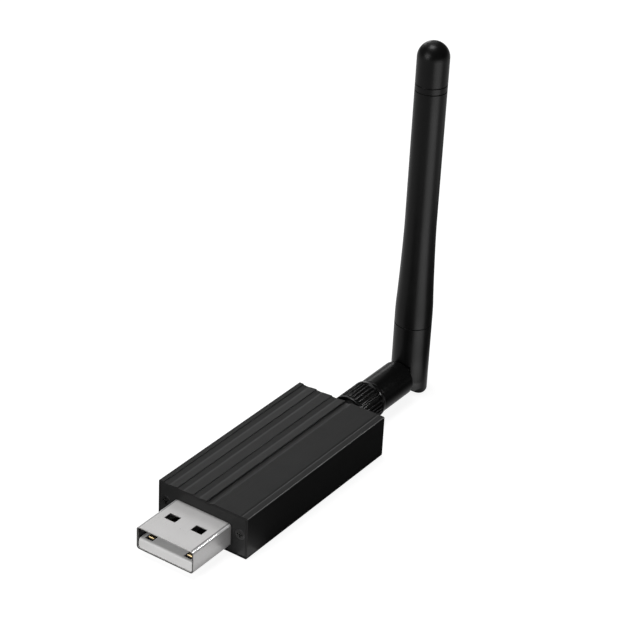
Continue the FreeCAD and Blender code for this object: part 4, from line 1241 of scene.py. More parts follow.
@dataclass
class Plug:
    """The plug: a folded sheet shell, a pale moulded insert and four contacts."""

    shop: Workshop
    sheet: float = 0.25
    corner: float = 0.6
    edge: float = 0.03
    window_width: float = 2.3
    window_length: float = 1.8
    window_spacing: float = 5.6
    window_from_tip: float = 5.65
    window_corner: float = 0.12
    seam: float = 0.1
    insert_edge: float = 0.45
    insert_nose: float = 1.0
    lit_depth: float = 2.4
    lit_fade: float = 2.0
    contact_at: float = 4.1
    well_half: float = 0.8
    glint: float = 0.08
    unlit: Colour = (0.012, 0.011, 0.010, 1.0)
    unlit_metal: Colour = (0.03, 0.03, 0.03, 1.0)
    front_rim_colour: Colour = (0.07, 0.068, 0.066, 1.0)
    # Painted lines along the shell's bends: a painted dark line on the top beside the bend, and a painted
    # highlight on the bend.
    bend_lines: tuple[BendLine, ...] = (
        BendLine(0.38, 0.62, 0.08, grey(0.22)),
        BendLine(0.06, 0.32, 0.42, grey(0.98)),
    )

    def shell(self) -> bpy.types.Object:
        """Builds the shell with its windows and its seam."""
        low, high = node_box("plug_shell")
        centre = (0.0, (low.z + high.z) / 2)
        half = (high.y, (high.z - low.z) / 2)
        outer = rounded_rectangle(centre, half, self.corner, 10)
        inner_half = (half[0] - self.sheet, half[1] - self.sheet)
        inner = rounded_rectangle(centre, inner_half, self.corner - self.sheet, 8)
        made = prism("plug_shell", outer, (low.x, high.x))
        through = (low.x - PAST, high.x + PAST)
        cuts = [prism("inside", inner, through)]
        window_half = (self.window_length / 2, self.window_width / 2)
        for side in (1, -1):
            middle = (low.x + self.window_from_tip, side * self.window_spacing / 2)
            window = rounded_rectangle(middle, window_half, self.window_corner, 4)
            ends = (low.z - PAST, high.z + PAST)
            cuts.append(loft("window", [[(x, y, z) for x, y in window] for z in ends]))
        seam = (-self.seam / 2, self.seam / 2)
        cuts.append(box(through, seam, (low.z - PAST, low.z + self.sheet + self.edge)))
        combine(made, "DIFFERENCE", cuts)
        soften(made, self.edge, 2, 40.0)
        return shade(made, 45.0)

    def finishes(self) -> tuple[Finish, Finish, Finish]:
        """Gives the finishes of shell, insert and contacts: painted shade where the mouth lets in no light,
        painted lines of light and shade along the shell's bends, and a darker front rim.

        Returns:
            The three finishes.
        """
        low, high = node_box("plug_shell")
        wall = self.sheet * 0.6
        floor, top = low.z + self.sheet, node_box("plug_contact_1")[1].z
        inside = Patch.between(
            (low.x + wall, low.y + wall, low.z + wall),
            (high.x + wall, high.y - wall, high.z - wall),
            wall / 2,
            self.unlit_metal,
        )
        deep = Patch.between((low.x + self.lit_depth, low.y, floor), tuple(high), self.lit_fade, self.unlit)
        wells, bends = [], []
        for side in (1, -1):
            near, far = on_side(side, self.contact_at - self.well_half, self.contact_at + self.well_half)
            start, stop = (low.x + 2 * self.sheet, near, floor), (high.x, far, top - self.glint)
            wells.append(Patch.between(start, stop, self.glint, self.unlit))
            # A painted dark line and a painted highlight along each top bend of the shell.
            for line in self.bend_lines:
                near, far = on_side(side, high.y - line.near, high.y - line.far)
                start, stop = (low.x + self.edge, near, high.z - line.drop), (high.x, far, high.z + wall)
                bends.append(Patch.between(start, stop, self.edge, line.colour))
        # The sheet's front rim is darker, apart from along its top.
        rim = Patch.between(
            (low.x - wall, low.y - wall, low.z - wall),
            (low.x + self.edge, high.y + wall, high.z - self.corner / 2),
            self.edge / 2,
            self.front_rim_colour,
        )
        return (
            replace(NICKEL, patches=(*bends, inside, rim)),
            replace(PALE_INSERT, patches=(deep, *wells)),
            replace(GOLD, patches=(deep, *wells)),
        )

    def build(self) -> None:
        """Builds the shell, the insert and the contacts."""
        deliver = self.shop.deliver
        nickel, pale, gold = self.finishes()
        deliver(self.shell(), "plug_sheet_shell", Body.STICK, nickel, "plug_metal", "plug_shell")
        insert = self.shop.copy_of("plug_tongue")
        low = node_box("plug_shell")[0]
        nose_x, nose_z = low.x + self.insert_nose, low.z + self.insert_nose
        soften(insert, self.insert_edge, 4, 30.0, lambda at: at.x < nose_x and at.z > nose_z)
        shade(insert, 45.0)
        deliver(insert, "plug_insert", Body.STICK, pale, "pale_insulator", "plug_tongue")
        for number in range(1, 5):
            node = f"plug_contact_{number}"
            strip = self.shop.copy_of(node)
            soften(strip, self.edge / 2, 2, 20.0)
            shade(strip, 45.0)
            deliver(strip, f"contact_strip_{number}", Body.STICK, gold, "gold_contacts", node)


@dataclass
class Jack:
    """The threaded jack, its washer, insulator and pin."""

    shop: Workshop
    axes: Axes
    pitch: float = 0.7056
    thread_depth: float = 0.30
    neck: float = 2.4
    neck_bore: float = 2.05
    neck_overlap: float = 0.2
    cavity: float = 2.32
    cavity_depth: float = 2.0
    back_wall: float = 0.8
    back_hole: float = 0.8
    leg_radius: float = 0.3
    leg_length: float = 2.3
    leg_spread_above: float = 1.3
    leg_spread_below: float = 1.0
    nose: float = 0.1
    chamfer: float = 0.3
    washer_edge: float = 0.06
    washer_inner_edge: float = 0.04
    washer_gap: float = 0.03
    thread_form: tuple[Point, ...] = ((0.0, 0.0), (0.06, 0.0), (0.44, 1.0), (0.56, 1.0), (0.94, 0.0))

    def thread(self, start: float, stop: float, crest: float, segments: int = 96) -> bpy.types.Object:
        """Builds the threaded barrel's outer skin as a solid round its core.

        Args:
            start: The X of its root.
            stop: The X of its tip.
            crest: The radius of its crests.
            segments: Steps in one turn.

        Returns:
            A closed solid.
        """
        root = crest - self.thread_depth
        turns = int((stop - start) / self.pitch) + 3
        bm = bmesh.new()
        columns = []
        for step in range(segments + 1):
            angle = 2 * math.pi * step / segments
            column = []
            for turn in range(-1, turns):
                for share, height in self.thread_form[:-1] if turn < turns - 1 else self.thread_form:
                    x = start + self.pitch * (turn + share + step / segments)
                    inside = min(max(x, start), stop)
                    fade = min(1.0, (inside - start) / (self.pitch / 2), (stop - inside) / self.chamfer)
                    radius = root + (crest - root) * height * max(fade, 0.0)
                    at = self.axes.place(Turning.ALONG, inside, radius, angle)
                    column.append(bm.verts.new(at))
            columns.append(column)
        for column, after in zip(columns, columns[1:]):
            for i in range(len(column) - 1):
                bm.faces.new((column[i], column[i + 1], after[i + 1], after[i]))
        bmesh.ops.remove_doubles(bm, verts=bm.verts, dist=1e-5)
        bmesh.ops.dissolve_degenerate(bm, dist=1e-6, edges=bm.edges)
        rims = [edge for edge in bm.edges if edge.is_boundary]
        bmesh.ops.holes_fill(bm, edges=rims, sides=0)
        return new_piece("thread", bm)

    def build(self) -> None:
        """Builds the jack and dresses what stays as it is."""
        axis = self.axes
        tip = node_box("jack_body")[1]
        washer_low, washer_high = node_box("jack_washer")
        board_low, board_high = node_box("circuit_board")
        back = node_box("jack_dielectric")[0].x - self.back_wall
        shoulder = washer_high.x
        body = self.thread(shoulder, tip.x, tip.z - axis.height)
        added = [axis.rod((back, shoulder + self.neck_overlap), self.neck, nose=self.nose)]
        leg = (back - self.leg_length, back + self.back_wall / 2)
        above = (board_high.z + self.leg_radius, self.leg_spread_above)
        below = (board_low.z - self.leg_radius, self.leg_spread_below)
        for z, spread in (above, below):
            for y in (spread, -spread):
                added.append(axis.rod(leg, self.leg_radius, 32, (y, z - axis.height), self.nose))
        combine(body, "UNION", added)
        seat = tip.x - self.cavity_depth
        bore = axis.turned("bore", Turning.ALONG, [
            (back - PAST, 0.0),
            (back - PAST, self.back_hole),
            (back + self.back_wall, self.back_hole),
            (back + self.back_wall, self.neck_bore),
            (seat, self.neck_bore),
            (seat, self.cavity),
            (tip.x + PAST, self.cavity),
            (tip.x + PAST, 0.0),
        ], 96)
        combine(body, "DIFFERENCE", [bore])
        shade(body, 40.0)
        self.shop.deliver(body, "jack_barrel", Body.STICK, JACK_BLACK, "jack_metal", "jack_body")
        wide, narrow = washer_high.z - axis.height, self.neck + self.washer_gap
        washer = axis.turned("washer", Turning.ALONG, rounded([
            (washer_low.x, narrow, self.washer_inner_edge),
            (washer_low.x, wide, self.washer_edge),
            (washer_high.x, wide, self.washer_edge),
            (washer_high.x, narrow, self.washer_inner_edge),
        ], 3), 128)
        shade(washer)
        self.shop.deliver(washer, "jack_back_washer", Body.STICK, JACK_BLACK, "jack_metal", "jack_washer")
        self.shop.dress("jack_dielectric", INSULATOR_WHITE)
        self.shop.dress("jack_centre_pin", GOLD)


@dataclass
class CouplingNut:
    """The ribbed coupling nut, one rib's sector repeated round the axis."""

    shop: Workshop
    axes: Axes
    ribs: int = 30
    rim: float = 0.7
    front_rim: float = 0.45
    front_ring: float = 0.3
    rear_ring: float = 0.4
    ring_depth: float = 0.26
    crest_half: float = 0.21
    groove_depth: float = 0.34
    edge: float = 0.15
    small_edge: float = 0.05
    crest_steps: int = 8
    lip: float = 1.0
    bore: float = 3.21
    lip_bore: float = 2.56

    def groove(self, angle: float, radius: float) -> float:
        """Gives how deep the groove is at an angle from its middle, between two round crests.

        Args:
            angle: The angle, in radians.
            radius: The nut's radius.

        Returns:
            A share of the full depth.
        """
        from_crest = (math.pi / self.ribs - abs(angle)) * radius / self.crest_half
        return 1 - math.sqrt(1 - min(max(from_crest, 0.0), 1.0) ** 2)

    def sector(self) -> bpy.types.Object:
        """Builds the sector of one groove, open at its two sides."""
        low, high = node_box("coupling_nut")
        radius = high.z - self.axes.height
        ring = radius - self.ring_depth
        ribs_front = low.x + self.front_rim + self.front_ring
        ribs_back = high.x - self.rim - self.rear_ring
        small = self.small_edge
        corners = [
            (low.x, self.bore, small),
            (low.x, radius, self.edge),
            (low.x + self.front_rim, radius, small),
            (low.x + self.front_rim, ring, small),
            (ribs_front, ring, small),
            (ribs_front, radius, small),
            (ribs_back, radius, small),
            (ribs_back, ring, small),
            (high.x - self.rim, ring, small),
            (high.x - self.rim, radius, small),
            (high.x, radius, self.edge),
            (high.x, self.lip_bore, small),
            (high.x - self.lip, self.lip_bore, small),
            (high.x - self.lip, self.bore, small),
        ]
        profile = rounded(corners, 3)
        half = math.pi / self.ribs
        reach = self.crest_half / radius
        steps = self.crest_steps
        spots = [half - reach * math.sin(math.pi / 2 * i / steps) for i in range(steps + 1)]
        outer = sorted({0.0, *spots, *(-spot for spot in spots)})
        bm = bmesh.new()
        columns = []
        for angle in outer:
            column = []
            for x, r in profile:
                ribbed = ribs_front - 1e-6 <= x <= ribs_back + 1e-6 and r > ring
                floor = radius - self.groove_depth
                deep = self.groove(angle, radius) * max(0.0, r - floor) if ribbed else 0.0
                column.append(bm.verts.new(self.axes.place(Turning.ALONG, x, r - deep, angle)))
            columns.append(column)
        skin(bm, columns)
        return new_piece("nut_sector", bm)

    def repeat_tree(self) -> RepeatTree:
        """Builds the tree that repeats a sector round the axis.

        Returns:
            A tree that takes Shape, Count, Height and Finish.
        """
        tree = RepeatTree("sectors_round_the_nut", Count="Int", Height="Float")
        given = tree.given
        axis = tree.vector(Z=given["Height"])
        down = tree.vector(Z=tree.maths("MULTIPLY", given["Height"], -1.0))
        line = tree.add("GeometryNodeMeshLine", {"mode": "OFFSET"}, Count=given["Count"], Start_Location=axis)
        line.inputs["Offset"].default_value = (0.0, 0.0, 0.0)
        centred = tree.add("GeometryNodeTransform", Geometry=tree.shape, Translation=down)
        number = tree.add("GeometryNodeInputIndex").outputs["Index"]
        turn = tree.maths("DIVIDE", tree.maths("MULTIPLY", number, 2 * math.pi), given["Count"])
        tree.close(line, centred.outputs["Geometry"], tree.vector(X=turn), join=0.001)
        return tree

    def build(self) -> None:
        """Builds the nut."""
        sector = self.sector()
        finish = NUT_BLACK.material(self.shop.effects)
        nut = self.repeat_tree().run(Shape=sector, Count=self.ribs, Height=self.axes.height, Finish=finish)
        remove(sector)
        bm = bmesh.new()
        bm.from_mesh(nut.data)
        bmesh.ops.recalc_face_normals(bm, faces=bm.faces)
        bm.to_mesh(nut.data)
        bm.free()
        shade(nut, 50.0, weighted=False)
        self.shop.deliver(nut, "ribbed_nut", Body.NUT, NUT_BLACK, "nut_black", "coupling_nut")


@dataclass
class AntennaPlug:
    """The turned plug inside the nut, with its insulator and socket."""

    shop: Workshop
    axes: Axes

    def build(self) -> None:
        """Shades the plug smoothly and dresses what it holds."""
        body = self.shop.copy_of("antenna_plug_body")
        shade(body, 30.0)
        self.shop.deliver(
            body, "plug_ferrule", Body.ANTENNA_PLUG, JACK_BLACK, "jack_metal", "antenna_plug_body"
        )
        self.shop.dress("antenna_plug_dielectric", INSULATOR_WHITE)
        self.shop.dress("antenna_centre_socket", GOLD)


@dataclass
class LowerArm:
    """The lower arm: a round bar on the plug, with a two-eared tongue for the elbow.

    The rim of its end has a painted highlight on its -Y side, where it turns out of the elbow's shade.
    """

    shop: Workshop
    axes: Axes
    edge: float = 0.3
    ear_outer: float = 1.85
    ear_inner: float = 0.8
    ear_radius: float = 2.4
    pin_bore: float = 0.83
    bar_to_elbow: float = 3.9
    end_wall: float = 1.2
    cable_bore: float = 1.2
    neck_bore: float = 2.56
    snap_room: float = 2.86
    snap_start: float = 1.24
    snap_stop: float = 2.16
    rim_highlight_width: float = 0.24
    rim_highlight_soft: float = 0.08
    rim_highlight_colour: Colour = (0.06, 0.06, 0.061, 1.0)

    def disc(self, half: float, radius: float) -> bpy.types.Object:
        """Makes a disc on the elbow's axis.

        Args:
            half: Half of its thickness.
            radius: Its radius.

        Returns:
            A closed shape.
        """
        centre = Matrix.Translation((self.axes.elbow_x, 0, self.axes.height))
        across = centre @ Matrix.Rotation(math.pi / 2, 4, "X")
        bm = bmesh.new()
        bmesh.ops.create_cone(
            bm, cap_ends=True, segments=96, radius1=radius, radius2=radius, depth=2 * half, matrix=across
        )
        return new_piece("disc", bm)

    def build(self) -> None:
        """Builds the lower arm."""
        low, high = node_box("antenna_base")
        radius = (high.z - low.z) / 2
        end = high.x - self.ear_radius
        back = end - self.bar_to_elbow
        axis = self.axes
        bar = axis.turned("bar", Turning.ALONG, rounded([
            (low.x, 0.0, 0.0),
            (low.x, radius, self.edge),
            (back, radius, self.edge),
            (back, 0.0, 0.0),
        ], 6), 160)
        ears = self.disc(self.ear_outer, self.ear_radius)
        tall = (axis.height - self.ear_radius, axis.height + self.ear_radius)
        combine(ears, "UNION", [box((back - PAST, end), (-self.ear_outer, self.ear_outer), tall)])
        across = (-self.ear_inner, self.ear_inner)
        slot_x = (back - self.end_wall, end + self.ear_radius + PAST)
        slot = box(slot_x, across, (axis.height - self.cable_bore, tall[1] + PAST))
        above = (axis.height + self.cable_bore, tall[1] + 2 * PAST)
        combine(slot, "DIFFERENCE", [box((back - self.end_wall - PAST, back), across, above)])
        bore = axis.turned("bore", Turning.ALONG, [
            (low.x - PAST, 0.0),
            (low.x - PAST, self.neck_bore),
            (low.x + self.snap_start, self.neck_bore),
            (low.x + self.snap_start, self.snap_room),
            (low.x + self.snap_stop, self.snap_room),
            (low.x + self.snap_stop, self.cable_bore),
            (back, self.cable_bore),
            (back, 0.0),
        ], 96)
        combine(bar, "UNION", [ears])
        combine(bar, "DIFFERENCE", [slot, bore, self.disc(self.ear_outer + PAST, self.pin_bore)])
        shade(bar, 40.0)
        # Painted highlight: a paler arc on the -Y side of the bar's end rim.
        rim = Patch.between(
            (back - self.rim_highlight_width, low.y, low.z),
            (back + self.rim_highlight_width, -self.ear_outer, axis.height + self.ear_outer),
            self.rim_highlight_soft,
            self.rim_highlight_colour,
        )
        arm_black = replace(ARM_BLACK, patches=(rim,))
        self.shop.deliver(bar, "lower_arm_bar", Body.LOWER_ARM, arm_black, "antenna_black", "antenna_base")


@dataclass
class UpperArm:
    """The upper arm: a fork at the elbow, a flared sleeve and a domed cap."""

    shop: Workshop
    lower: LowerArm
    axes: Axes
    heel: float = 1.4
    foot_round: float = 0.25
    seam: float = 0.1
    fork_gap: float = 0.1
    turn_gap: float = 0.15
    bore: float = 1.9
    spigot: float = 2.82
    pin_depth: float = 1.1
    pin_radius: float = 0.8
    flare_heights: tuple[float, ...] = (0.0, 2.1, 4.2, 6.4, 8.6, 10.8, 12.9, 17.0, 21.6)
    flare_shares: tuple[float, ...] = (0.0, 0.0, 0.085, 0.273, 0.427, 0.564, 0.684, 0.889, 1.0)
    groove_height: float = 63.1
    groove_width: float = 0.25
    groove_depth: float = 0.12
    sleeve_bore: float = 2.85
    tip_bore: float = 2.315
    spigot_gap: float = 0.03
    spigot_lead: float = 0.2
    slot_overlap: float = 0.1
    taper_from: float = 33.0

    def flare(self, height: float) -> float:
        """Gives how far the sleeve has narrowed at a height above the block.

        Args:
            height: The height, in millimetres.

        Returns:
            A share of the way from the foot's radius to the tip's.
        """
        heights, shares = self.flare_heights, self.flare_shares
        i = next(i for i in range(len(heights) - 1) if height <= heights[i + 1] or i == len(heights) - 2)
        slopes = []
        for k in (i, i + 1):
            if k in (0, len(heights) - 1):
                slopes.append(0.0)
                continue
            slopes.append((shares[k + 1] - shares[k - 1]) / (heights[k + 1] - heights[k - 1]))
        span = heights[i + 1] - heights[i]
        t = (height - heights[i]) / span
        return (
            (2 * t**3 - 3 * t**2 + 1) * shares[i]
            + (t**3 - 2 * t**2 + t) * span * slopes[0]
            + (3 * t**2 - 2 * t**3) * shares[i + 1]
            + (t**3 - t**2) * span * slopes[1]
        )

    def foot_height(self, dx: float, low: float, radius: float) -> float:
        """Gives the height of the block's underside.

        Args:
            dx: The distance behind the elbow's axis.
            low: The lowest height.
            radius: The block's radius.

        Returns:
            The height at that place.
        """
        drop = self.axes.height - low
        if dx < 0:
            return self.axes.height - math.sqrt(max(drop**2 - dx**2, 0.0))
        flat = radius - self.heel
        if dx <= flat:
            return low
        return low + self.heel - math.sqrt(max(self.heel**2 - (dx - flat) ** 2, 0.0))

    def block(self) -> bpy.types.Object:
        """Builds the fork block, round in front, with a rounded heel, a slot and a spigot."""
        low, high = node_box("antenna_arm_block")
        sleeve_low = node_box("antenna_sleeve")[0]
        radius = high.x - self.axes.elbow_x
        top = sleeve_low.z
        segments, rings, rounds = 160, 24, 5
        bm = bmesh.new()
        inner = radius - self.foot_round
        loops = [inner * k / rings for k in range(1, rings)]
        columns: list[list[bmesh.types.BMVert]] = []
        centre = bm.verts.new((self.axes.elbow_x, 0, self.foot_height(0.0, low.z, radius)))
        for i in range(segments):
            angle = 2 * math.pi * i / segments
            cos, sin = math.cos(angle), math.sin(angle)
            column = []
            for r in loops:
                z = self.foot_height(r * cos, low.z, radius)
                column.append(bm.verts.new((self.axes.elbow_x + r * cos, r * sin, z)))
            for step in range(rounds + 1):
                turn = math.pi / 2 * step / rounds
                r = inner + self.foot_round * math.sin(turn)
                z = self.foot_height(r * cos, low.z, radius) + self.foot_round * (1 - math.cos(turn))
                column.append(bm.verts.new((self.axes.elbow_x + r * cos, r * sin, z)))
            shoulder = ((radius, top - self.seam), (radius - self.seam, top))
            for r, z in (*shoulder, (self.spigot, top), (self.spigot, high.z)):
                column.append(bm.verts.new((self.axes.elbow_x + r * cos, r * sin, z)))
            columns.append(column)
        roof = bm.verts.new((self.axes.elbow_x, 0, high.z))
        for i in range(segments):
            column, after = columns[i - 1], columns[i]
            bm.faces.new((centre, column[0], after[0]))
            bm.faces.new((roof, column[-1], after[-1]))
            for k in range(len(column) - 1):
                bm.faces.new((column[k], column[k + 1], after[k + 1], after[k]))
        made = new_piece("block", bm)
        axis = self.axes
        reach, turn = radius + PAST, self.lower.ear_radius + self.turn_gap
        cheek = self.lower.ear_outer + self.fork_gap
        ex, ez = axis.elbow_x, axis.height
        slot = self.lower.disc(cheek, turn)
        front = box((ex - reach, ex), (-cheek, cheek), (ez - reach, ez + turn))
        under = box((ex - self.slot_overlap, ex + turn), (-cheek, cheek), (ez - reach, ez))
        combine(slot, "UNION", [front, under])
        pins = self.lower.disc(cheek + self.pin_depth, self.pin_radius)
        up = axis.rod((ez, high.z + PAST), self.bore, turning=Turning.UPRIGHT)
        combine(made, "DIFFERENCE", [slot, pins, up])
        return shade(made, 40.0)

    def sleeve(self) -> bpy.types.Object:
        """Builds the sleeve."""
        low, high = node_box("antenna_sleeve")
        foot = high.x - self.axes.elbow_x
        tip = node_box("antenna_cap")[1].x - self.axes.elbow_x
        spigot_top = node_box("antenna_arm_block")[1].z
        profile = [(low.z, self.sleeve_bore), (low.z, foot - self.seam)]
        steps = 60
        last = self.flare_heights[-1]
        for step in range(steps + 1):
            height = self.seam + (last - self.seam) * step / steps
            profile.append((low.z + height, foot - (foot - tip) * self.flare(height)))
        for step in range(1, 5):
            profile.append((low.z + last + (high.z - self.seam - low.z - last) * step / 4, tip))
        profile += [
            (high.z, tip - self.seam),
            (high.z, self.tip_bore),
            (self.taper_from, self.tip_bore),
            (spigot_top, self.sleeve_bore),
        ]
        return shade(self.axes.turned("sleeve", Turning.UPRIGHT, profile, 160), 40.0)

    def cap(self) -> bpy.types.Object:
        """Builds the cap."""
        low, high = node_box("antenna_cap")
        seam_z = node_box("antenna_sleeve")[1].z
        radius = high.x - self.axes.elbow_x
        spigot = self.tip_bore - self.spigot_gap
        half, depth = self.groove_width / 2, self.groove_depth
        profile = [
            (low.z, 0.0),
            (low.z, spigot - self.spigot_lead),
            (low.z + self.spigot_lead, spigot),
            (seam_z, spigot),
            (seam_z, radius - self.seam),
            (seam_z + self.seam, radius),
        ]
        for step in range(9):
            turn = math.pi * step / 8
            profile.append((self.groove_height - half * math.cos(turn), radius - depth * math.sin(turn)))
        dome = high.z - radius
        for step in range(25):
            turn = math.pi / 2 * step / 24
            profile.append((dome + radius * math.sin(turn), radius * math.cos(turn)))
        made = self.axes.turned("cap", Turning.UPRIGHT, profile, 160)
        wire = node_box("radiator_wire")
        wire_radius = (wire[1].x - wire[0].x) / 2
        hole = self.axes.rod((low.z - PAST, wire[1].z), wire_radius, 32, turning=Turning.UPRIGHT)
        combine(made, "DIFFERENCE", [hole])
        return shade(made, 40.0)

    def build(self) -> None:
        """Builds the arm and dresses what it holds."""
        for piece, name, node in (
            (self.block(), "elbow_block", "antenna_arm_block"),
            (self.sleeve(), "flared_sleeve", "antenna_sleeve"),
            (self.cap(), "domed_cap", "antenna_cap"),
        ):
            self.shop.deliver(piece, name, Body.UPPER_ARM, ANTENNA_BLACK, "antenna_black", node)
        self.shop.dress("elbow_pins", PIN_STEEL)
        self.shop.dress("dipole_tube", BRASS)
        self.shop.dress("radiator_wire", BRASS)


@dataclass
class InnerCable:
    """The cable that runs from the antenna plug through the elbow, with a bend there."""

    shop: Workshop
    axes: Axes
    bend: float = 2.4
    bend_steps: int = 24
    segments: int = 24

    def build(self) -> None:
        """Builds the cable as a tube along its route."""
        low, high = node_box("coax_cable")
        radius = self.axes.height - low.z
        ex, ez = self.axes.elbow_x, self.axes.height
        stations: list[tuple[Vector, float]] = [(Vector((low.x, 0, ez)), 0.0)]
        for step in range(self.bend_steps + 1):
            turn = math.pi / 2 * step / self.bend_steps
            along, up = self.bend * (1 - math.sin(turn)), self.bend * (1 - math.cos(turn))
            stations.append((Vector((ex - along, 0, ez + up)), turn))
        stations.append((Vector((ex, 0, high.z)), math.pi / 2))
        rings = []
        for centre, turn in stations:
            out = Vector((-math.sin(turn), 0, math.cos(turn)))
            angles = [2 * math.pi * i / self.segments for i in range(self.segments)]
            spokes = [out * math.cos(angle) + Vector((0, math.sin(angle), 0)) for angle in angles]
            rings.append([centre + radius * spoke for spoke in spokes])
        cable = shade(loft("inner_cable", rings), 60.0)
        cable.data.transform(Matrix.Scale(MM, 4))
        cable.data.materials.append(CABLE_BLACK.material(self.shop.effects))
        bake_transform(cable)
        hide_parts("coax_cable")
        LOG.info("inner_cable: bends across the elbow")


@dataclass
class Electronics:
    """The circuit board and its parts, inside the closed housing."""

    shop: Workshop
    finishes: tuple[tuple[str, Finish], ...] = (
        ("circuit_board", BOARD_GREEN),
        ("radio_module_board", BOARD_GREEN),
        ("radio_shield_can", CAN_METAL),
        ("bridge_chip", CHIP_BLACK),
        ("regulator", CHIP_BLACK),
        ("crystal", CAN_METAL),
        ("capacitors", CHIP_TAN),
        ("status_leds", LAMP_CLEAR),
    )

    def build(self) -> None:
        """Dresses each part."""
        for node, finish in self.finishes:
            self.shop.dress(node, finish)


@dataclass(frozen=True)
class Lamp:
    """One soft lamp.

    Places and sizes are in metres, and the level is the lamp's brightness, where 1 is white.
    A lamp that only shines shows in gloss and metal, and lights nothing else.
    """

    name: str
    place: tuple[float, float, float]
    target: tuple[float, float, float]
    size: Point
    level: float
    only_shines: bool = False
    spread: float = 180.0
    along: Corner | None = None

    def add(self) -> None:
        """Adds the lamp to the scene."""
        light = bpy.data.lights.new(self.name, "AREA")
        light.shape = "RECTANGLE"
        light.size, light.size_y = self.size
        light.energy = self.level * math.pi * self.size[0] * self.size[1]
        light.spread = math.radians(self.spread)
        obj = bpy.data.objects.new(self.name, light)
        bpy.context.scene.collection.objects.link(obj)
        obj.location = self.place
        obj.rotation_mode = "QUATERNION"
        away = (obj.location - Vector(self.target)).normalized()
        obj.rotation_quaternion = away.to_track_quat("Z", "Y")
        if self.along:
            across = Vector(self.along)
            across = (across - away * across.dot(away)).normalized()
            obj.rotation_quaternion = Matrix((across, away.cross(across), away)).transposed().to_quaternion()
        obj.visible_camera = False
        obj.visible_diffuse = not self.only_shines


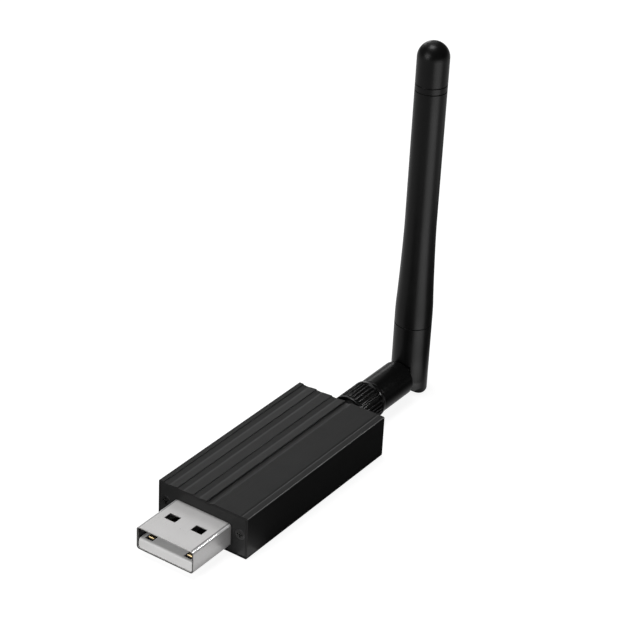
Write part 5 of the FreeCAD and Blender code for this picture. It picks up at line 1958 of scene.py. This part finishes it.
@dataclass
class Studio:
    """A pale floor, soft lamps and the camera.

    The floor is seen white. What the object gets from it is less, so that its dark sides stay dark.
    """

    floor_size: float = 3.0
    floor_level: float = 0.22
    floor_glow: float = 0.90
    floor_shine: float = 0.50
    ambient: float = 0.12
    shine: float = 0.10
    camera_place: tuple[float, float, float] = (-0.263868, -0.183858, 0.218802)
    camera_turn: tuple[float, float, float] = (60.1324, -2.6271, -54.8224)
    camera_lens: float = 123.261
    antenna_foot: Point = (0.0437, 0.0)
    fan_turn: float = -110.0
    fan_dip: float = 33.85
    fan_width: float = 0.8
    fan_steps: int = 6
    fan_start: float = 0.005625
    fan_level: float = 0.75
    fan_spread: float = 90.0
    dim_zones: tuple[tuple[Corner, Corner, float], ...] = (
        ((-0.018, -0.060, -0.01), (0.110, -0.004, 0.01), 0.005),
        ((0.052, -0.045, -0.01), (0.170, 0.028, 0.01), 0.012),
        ((-0.045, 0.002, -0.01), (-0.018, 0.030, 0.01), 0.006),
    )
    dim_share: float = 0.9
    lamps: tuple[Lamp, ...] = (
        Lamp("overhead", (0.02, 0.10, 0.60), (0.02, 0.0, 0.0), (0.25, 0.25), 12.0),
        Lamp("front", (-0.50, 0.14, 0.24), (0.0, 0.0, 0.02), (0.30, 0.30), 6.0),
        Lamp("back_panel", (0.28, 0.32, 0.36), (0.0, 0.0, 0.0), (0.50, 0.30), 0.75),
        Lamp("low_panel", (0.36, 0.36, 0.165), (0.0, 0.0, 0.0), (0.20, 0.08), 4.0, True),
        Lamp("plug_card", (-0.0265, -0.0125, 0.0005), (-0.0265, -0.0125, 1.0), (0.018, 0.010), 0.85),
        Lamp(
            "edge_strip", (0.037, -0.044, 0.038), (-0.0055, -0.0094, 0.0082), (0.046, 0.006), 7.0, True, 70.0,
            (1.0, 0.0, 0.0),
        ),
    )

    def fan(self) -> list[Lamp]:
        """Gives the low lamps that draw the long highlight on the upright arm."""
        turn, dip = math.radians(self.fan_turn), math.radians(self.fan_dip)
        sight = Vector((math.cos(turn) * math.cos(dip), math.sin(turn) * math.cos(dip), -math.sin(dip)))
        lamps = []
        for step in range(self.fan_steps):
            reach = self.fan_start * 2**step
            size = (reach * self.fan_width, reach * math.sin(dip) * 2 / 3)
            lift = size[1] / 2 * math.cos(dip) + 0.0005
            at = Vector((*self.antenna_foot, 0.0)) + Vector((math.cos(turn), math.sin(turn), 0.0)) * reach
            at -= sight * (lift / math.sin(dip))
            lamps.append(Lamp(
                f"fan_{step + 1}", tuple(at), tuple(at - sight), size, self.fan_level, True, self.fan_spread
            ))
        return lamps

    @staticmethod
    def white_where_seen(sheet: NodeSheet) -> tuple[bpy.types.NodeSocket, bpy.types.NodeSocket]:
        """Gives 1 on rays from the camera or through glass, and 1 on reflected rays."""
        path = sheet.add("ShaderNodeLightPath").outputs
        seen = sheet.maths("ADD", path["Is Camera Ray"], path["Is Transmission Ray"])
        return seen, path["Is Glossy Ray"]

    def floor(self, effects: SurfaceEffects) -> None:
        """Adds the pale floor, which mirrors less beside the housing.

        Args:
            effects: The shared groups.
        """
        bm = bmesh.new()
        bmesh.ops.create_grid(bm, x_segments=1, y_segments=1, size=self.floor_size)
        mesh = bpy.data.meshes.new("floor")
        bm.to_mesh(mesh)
        bm.free()
        obj = bpy.data.objects.new("floor", mesh)
        bpy.context.scene.collection.objects.link(obj)
        made = bpy.data.materials.new("pale_floor")
        made.use_nodes = True
        sheet = NodeSheet(made.node_tree)
        made.node_tree.nodes.clear()
        shader = sheet.add("ShaderNodeBsdfPrincipled", Roughness=0.9)
        shader.inputs["Specular IOR Level"].default_value = 0.0
        seen, mirrored = self.white_where_seen(sheet)
        glow = sheet.maths("MULTIPLY", seen, self.floor_glow)
        dim = 0.0
        for low, high, soft in self.dim_zones:
            zone = effects.place(sheet, effects.inside_box, Low=low, High=high, Soft=soft)
            dim = sheet.maths("MAXIMUM", dim, zone.outputs["Mask"])
        kept = sheet.spread(dim, 0.0, 1.0, 1.0, 1 - self.dim_share)
        shine = sheet.maths("MULTIPLY", sheet.maths("MULTIPLY", mirrored, kept), self.floor_shine)
        lost = sheet.maths("MULTIPLY", sheet.maths("MULTIPLY", mirrored, dim), self.dim_share)
        sheet.feed(shader.inputs["Base Color"], sheet.mix(lost, grey(self.floor_level), grey(0.0)))
        sheet.feed(shader.inputs["Emission Strength"], sheet.maths("ADD", glow, shine))
        shader.inputs["Emission Color"].default_value = grey(1.0)
        sheet.add("ShaderNodeOutputMaterial", Surface=shader.outputs["BSDF"])
        mesh.materials.append(made)

    def world(self) -> None:
        """Makes the surroundings white where they are seen and soft where they light."""
        world = bpy.data.worlds.new("studio")
        bpy.context.scene.world = world
        world.use_nodes = True
        world.node_tree.nodes.clear()
        sheet = NodeSheet(world.node_tree)
        seen, mirrored = self.white_where_seen(sheet)
        unseen = sheet.spread(mirrored, 0.0, 1.0, self.ambient, self.shine)
        strength = sheet.spread(seen, 0.0, 1.0, unseen, 1.0)
        background = sheet.add("ShaderNodeBackground", Color=grey(1.0), Strength=strength)
        sheet.add("ShaderNodeOutputWorld", Surface=background.outputs["Background"])

    def camera(self) -> None:
        """Adds the camera at the photograph's angle."""
        data = bpy.data.cameras.new("camera")
        data.lens = self.camera_lens
        data.clip_start, data.clip_end = 0.01, 10.0
        obj = bpy.data.objects.new("camera", data)
        bpy.context.scene.collection.objects.link(obj)
        obj.location = self.camera_place
        obj.rotation_euler = [math.radians(a) for a in self.camera_turn]
        bpy.context.scene.camera = obj

    def build(self, effects: SurfaceEffects) -> None:
        """Builds the studio.

        Args:
            effects: The shared groups.
        """
        bpy.context.scene.view_settings.view_transform = "Standard"
        self.floor(effects)
        self.world()
        self.camera()
        for lamp in (*self.lamps, *self.fan()):
            lamp.add()


def main() -> None:
    """Builds the studio and every piece."""
    logging.basicConfig(level=logging.INFO, format="%(message)s")
    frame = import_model()
    effects = SurfaceEffects()
    Studio().build(effects)
    shop = Workshop(effects, frame["nodes"])
    jack_low, jack_high = node_box("jack_washer")
    arm_low, arm_high = node_box("dipole_tube")
    axes = Axes((jack_low.z + jack_high.z) / 2, (arm_low.x + arm_high.x) / 2)
    housing = Housing(shop)
    lower = LowerArm(shop, axes)
    parts = [
        housing,
        EndPlates(shop, housing, axes),
        Plug(shop),
        Electronics(shop),
        Jack(shop, axes),
        AntennaPlug(shop, axes),
        CouplingNut(shop, axes),
        lower,
        UpperArm(shop, lower, axes),
        InnerCable(shop, axes),
    ]
    for part in parts:
        part.build()


if __name__ == "__main__":
    main()
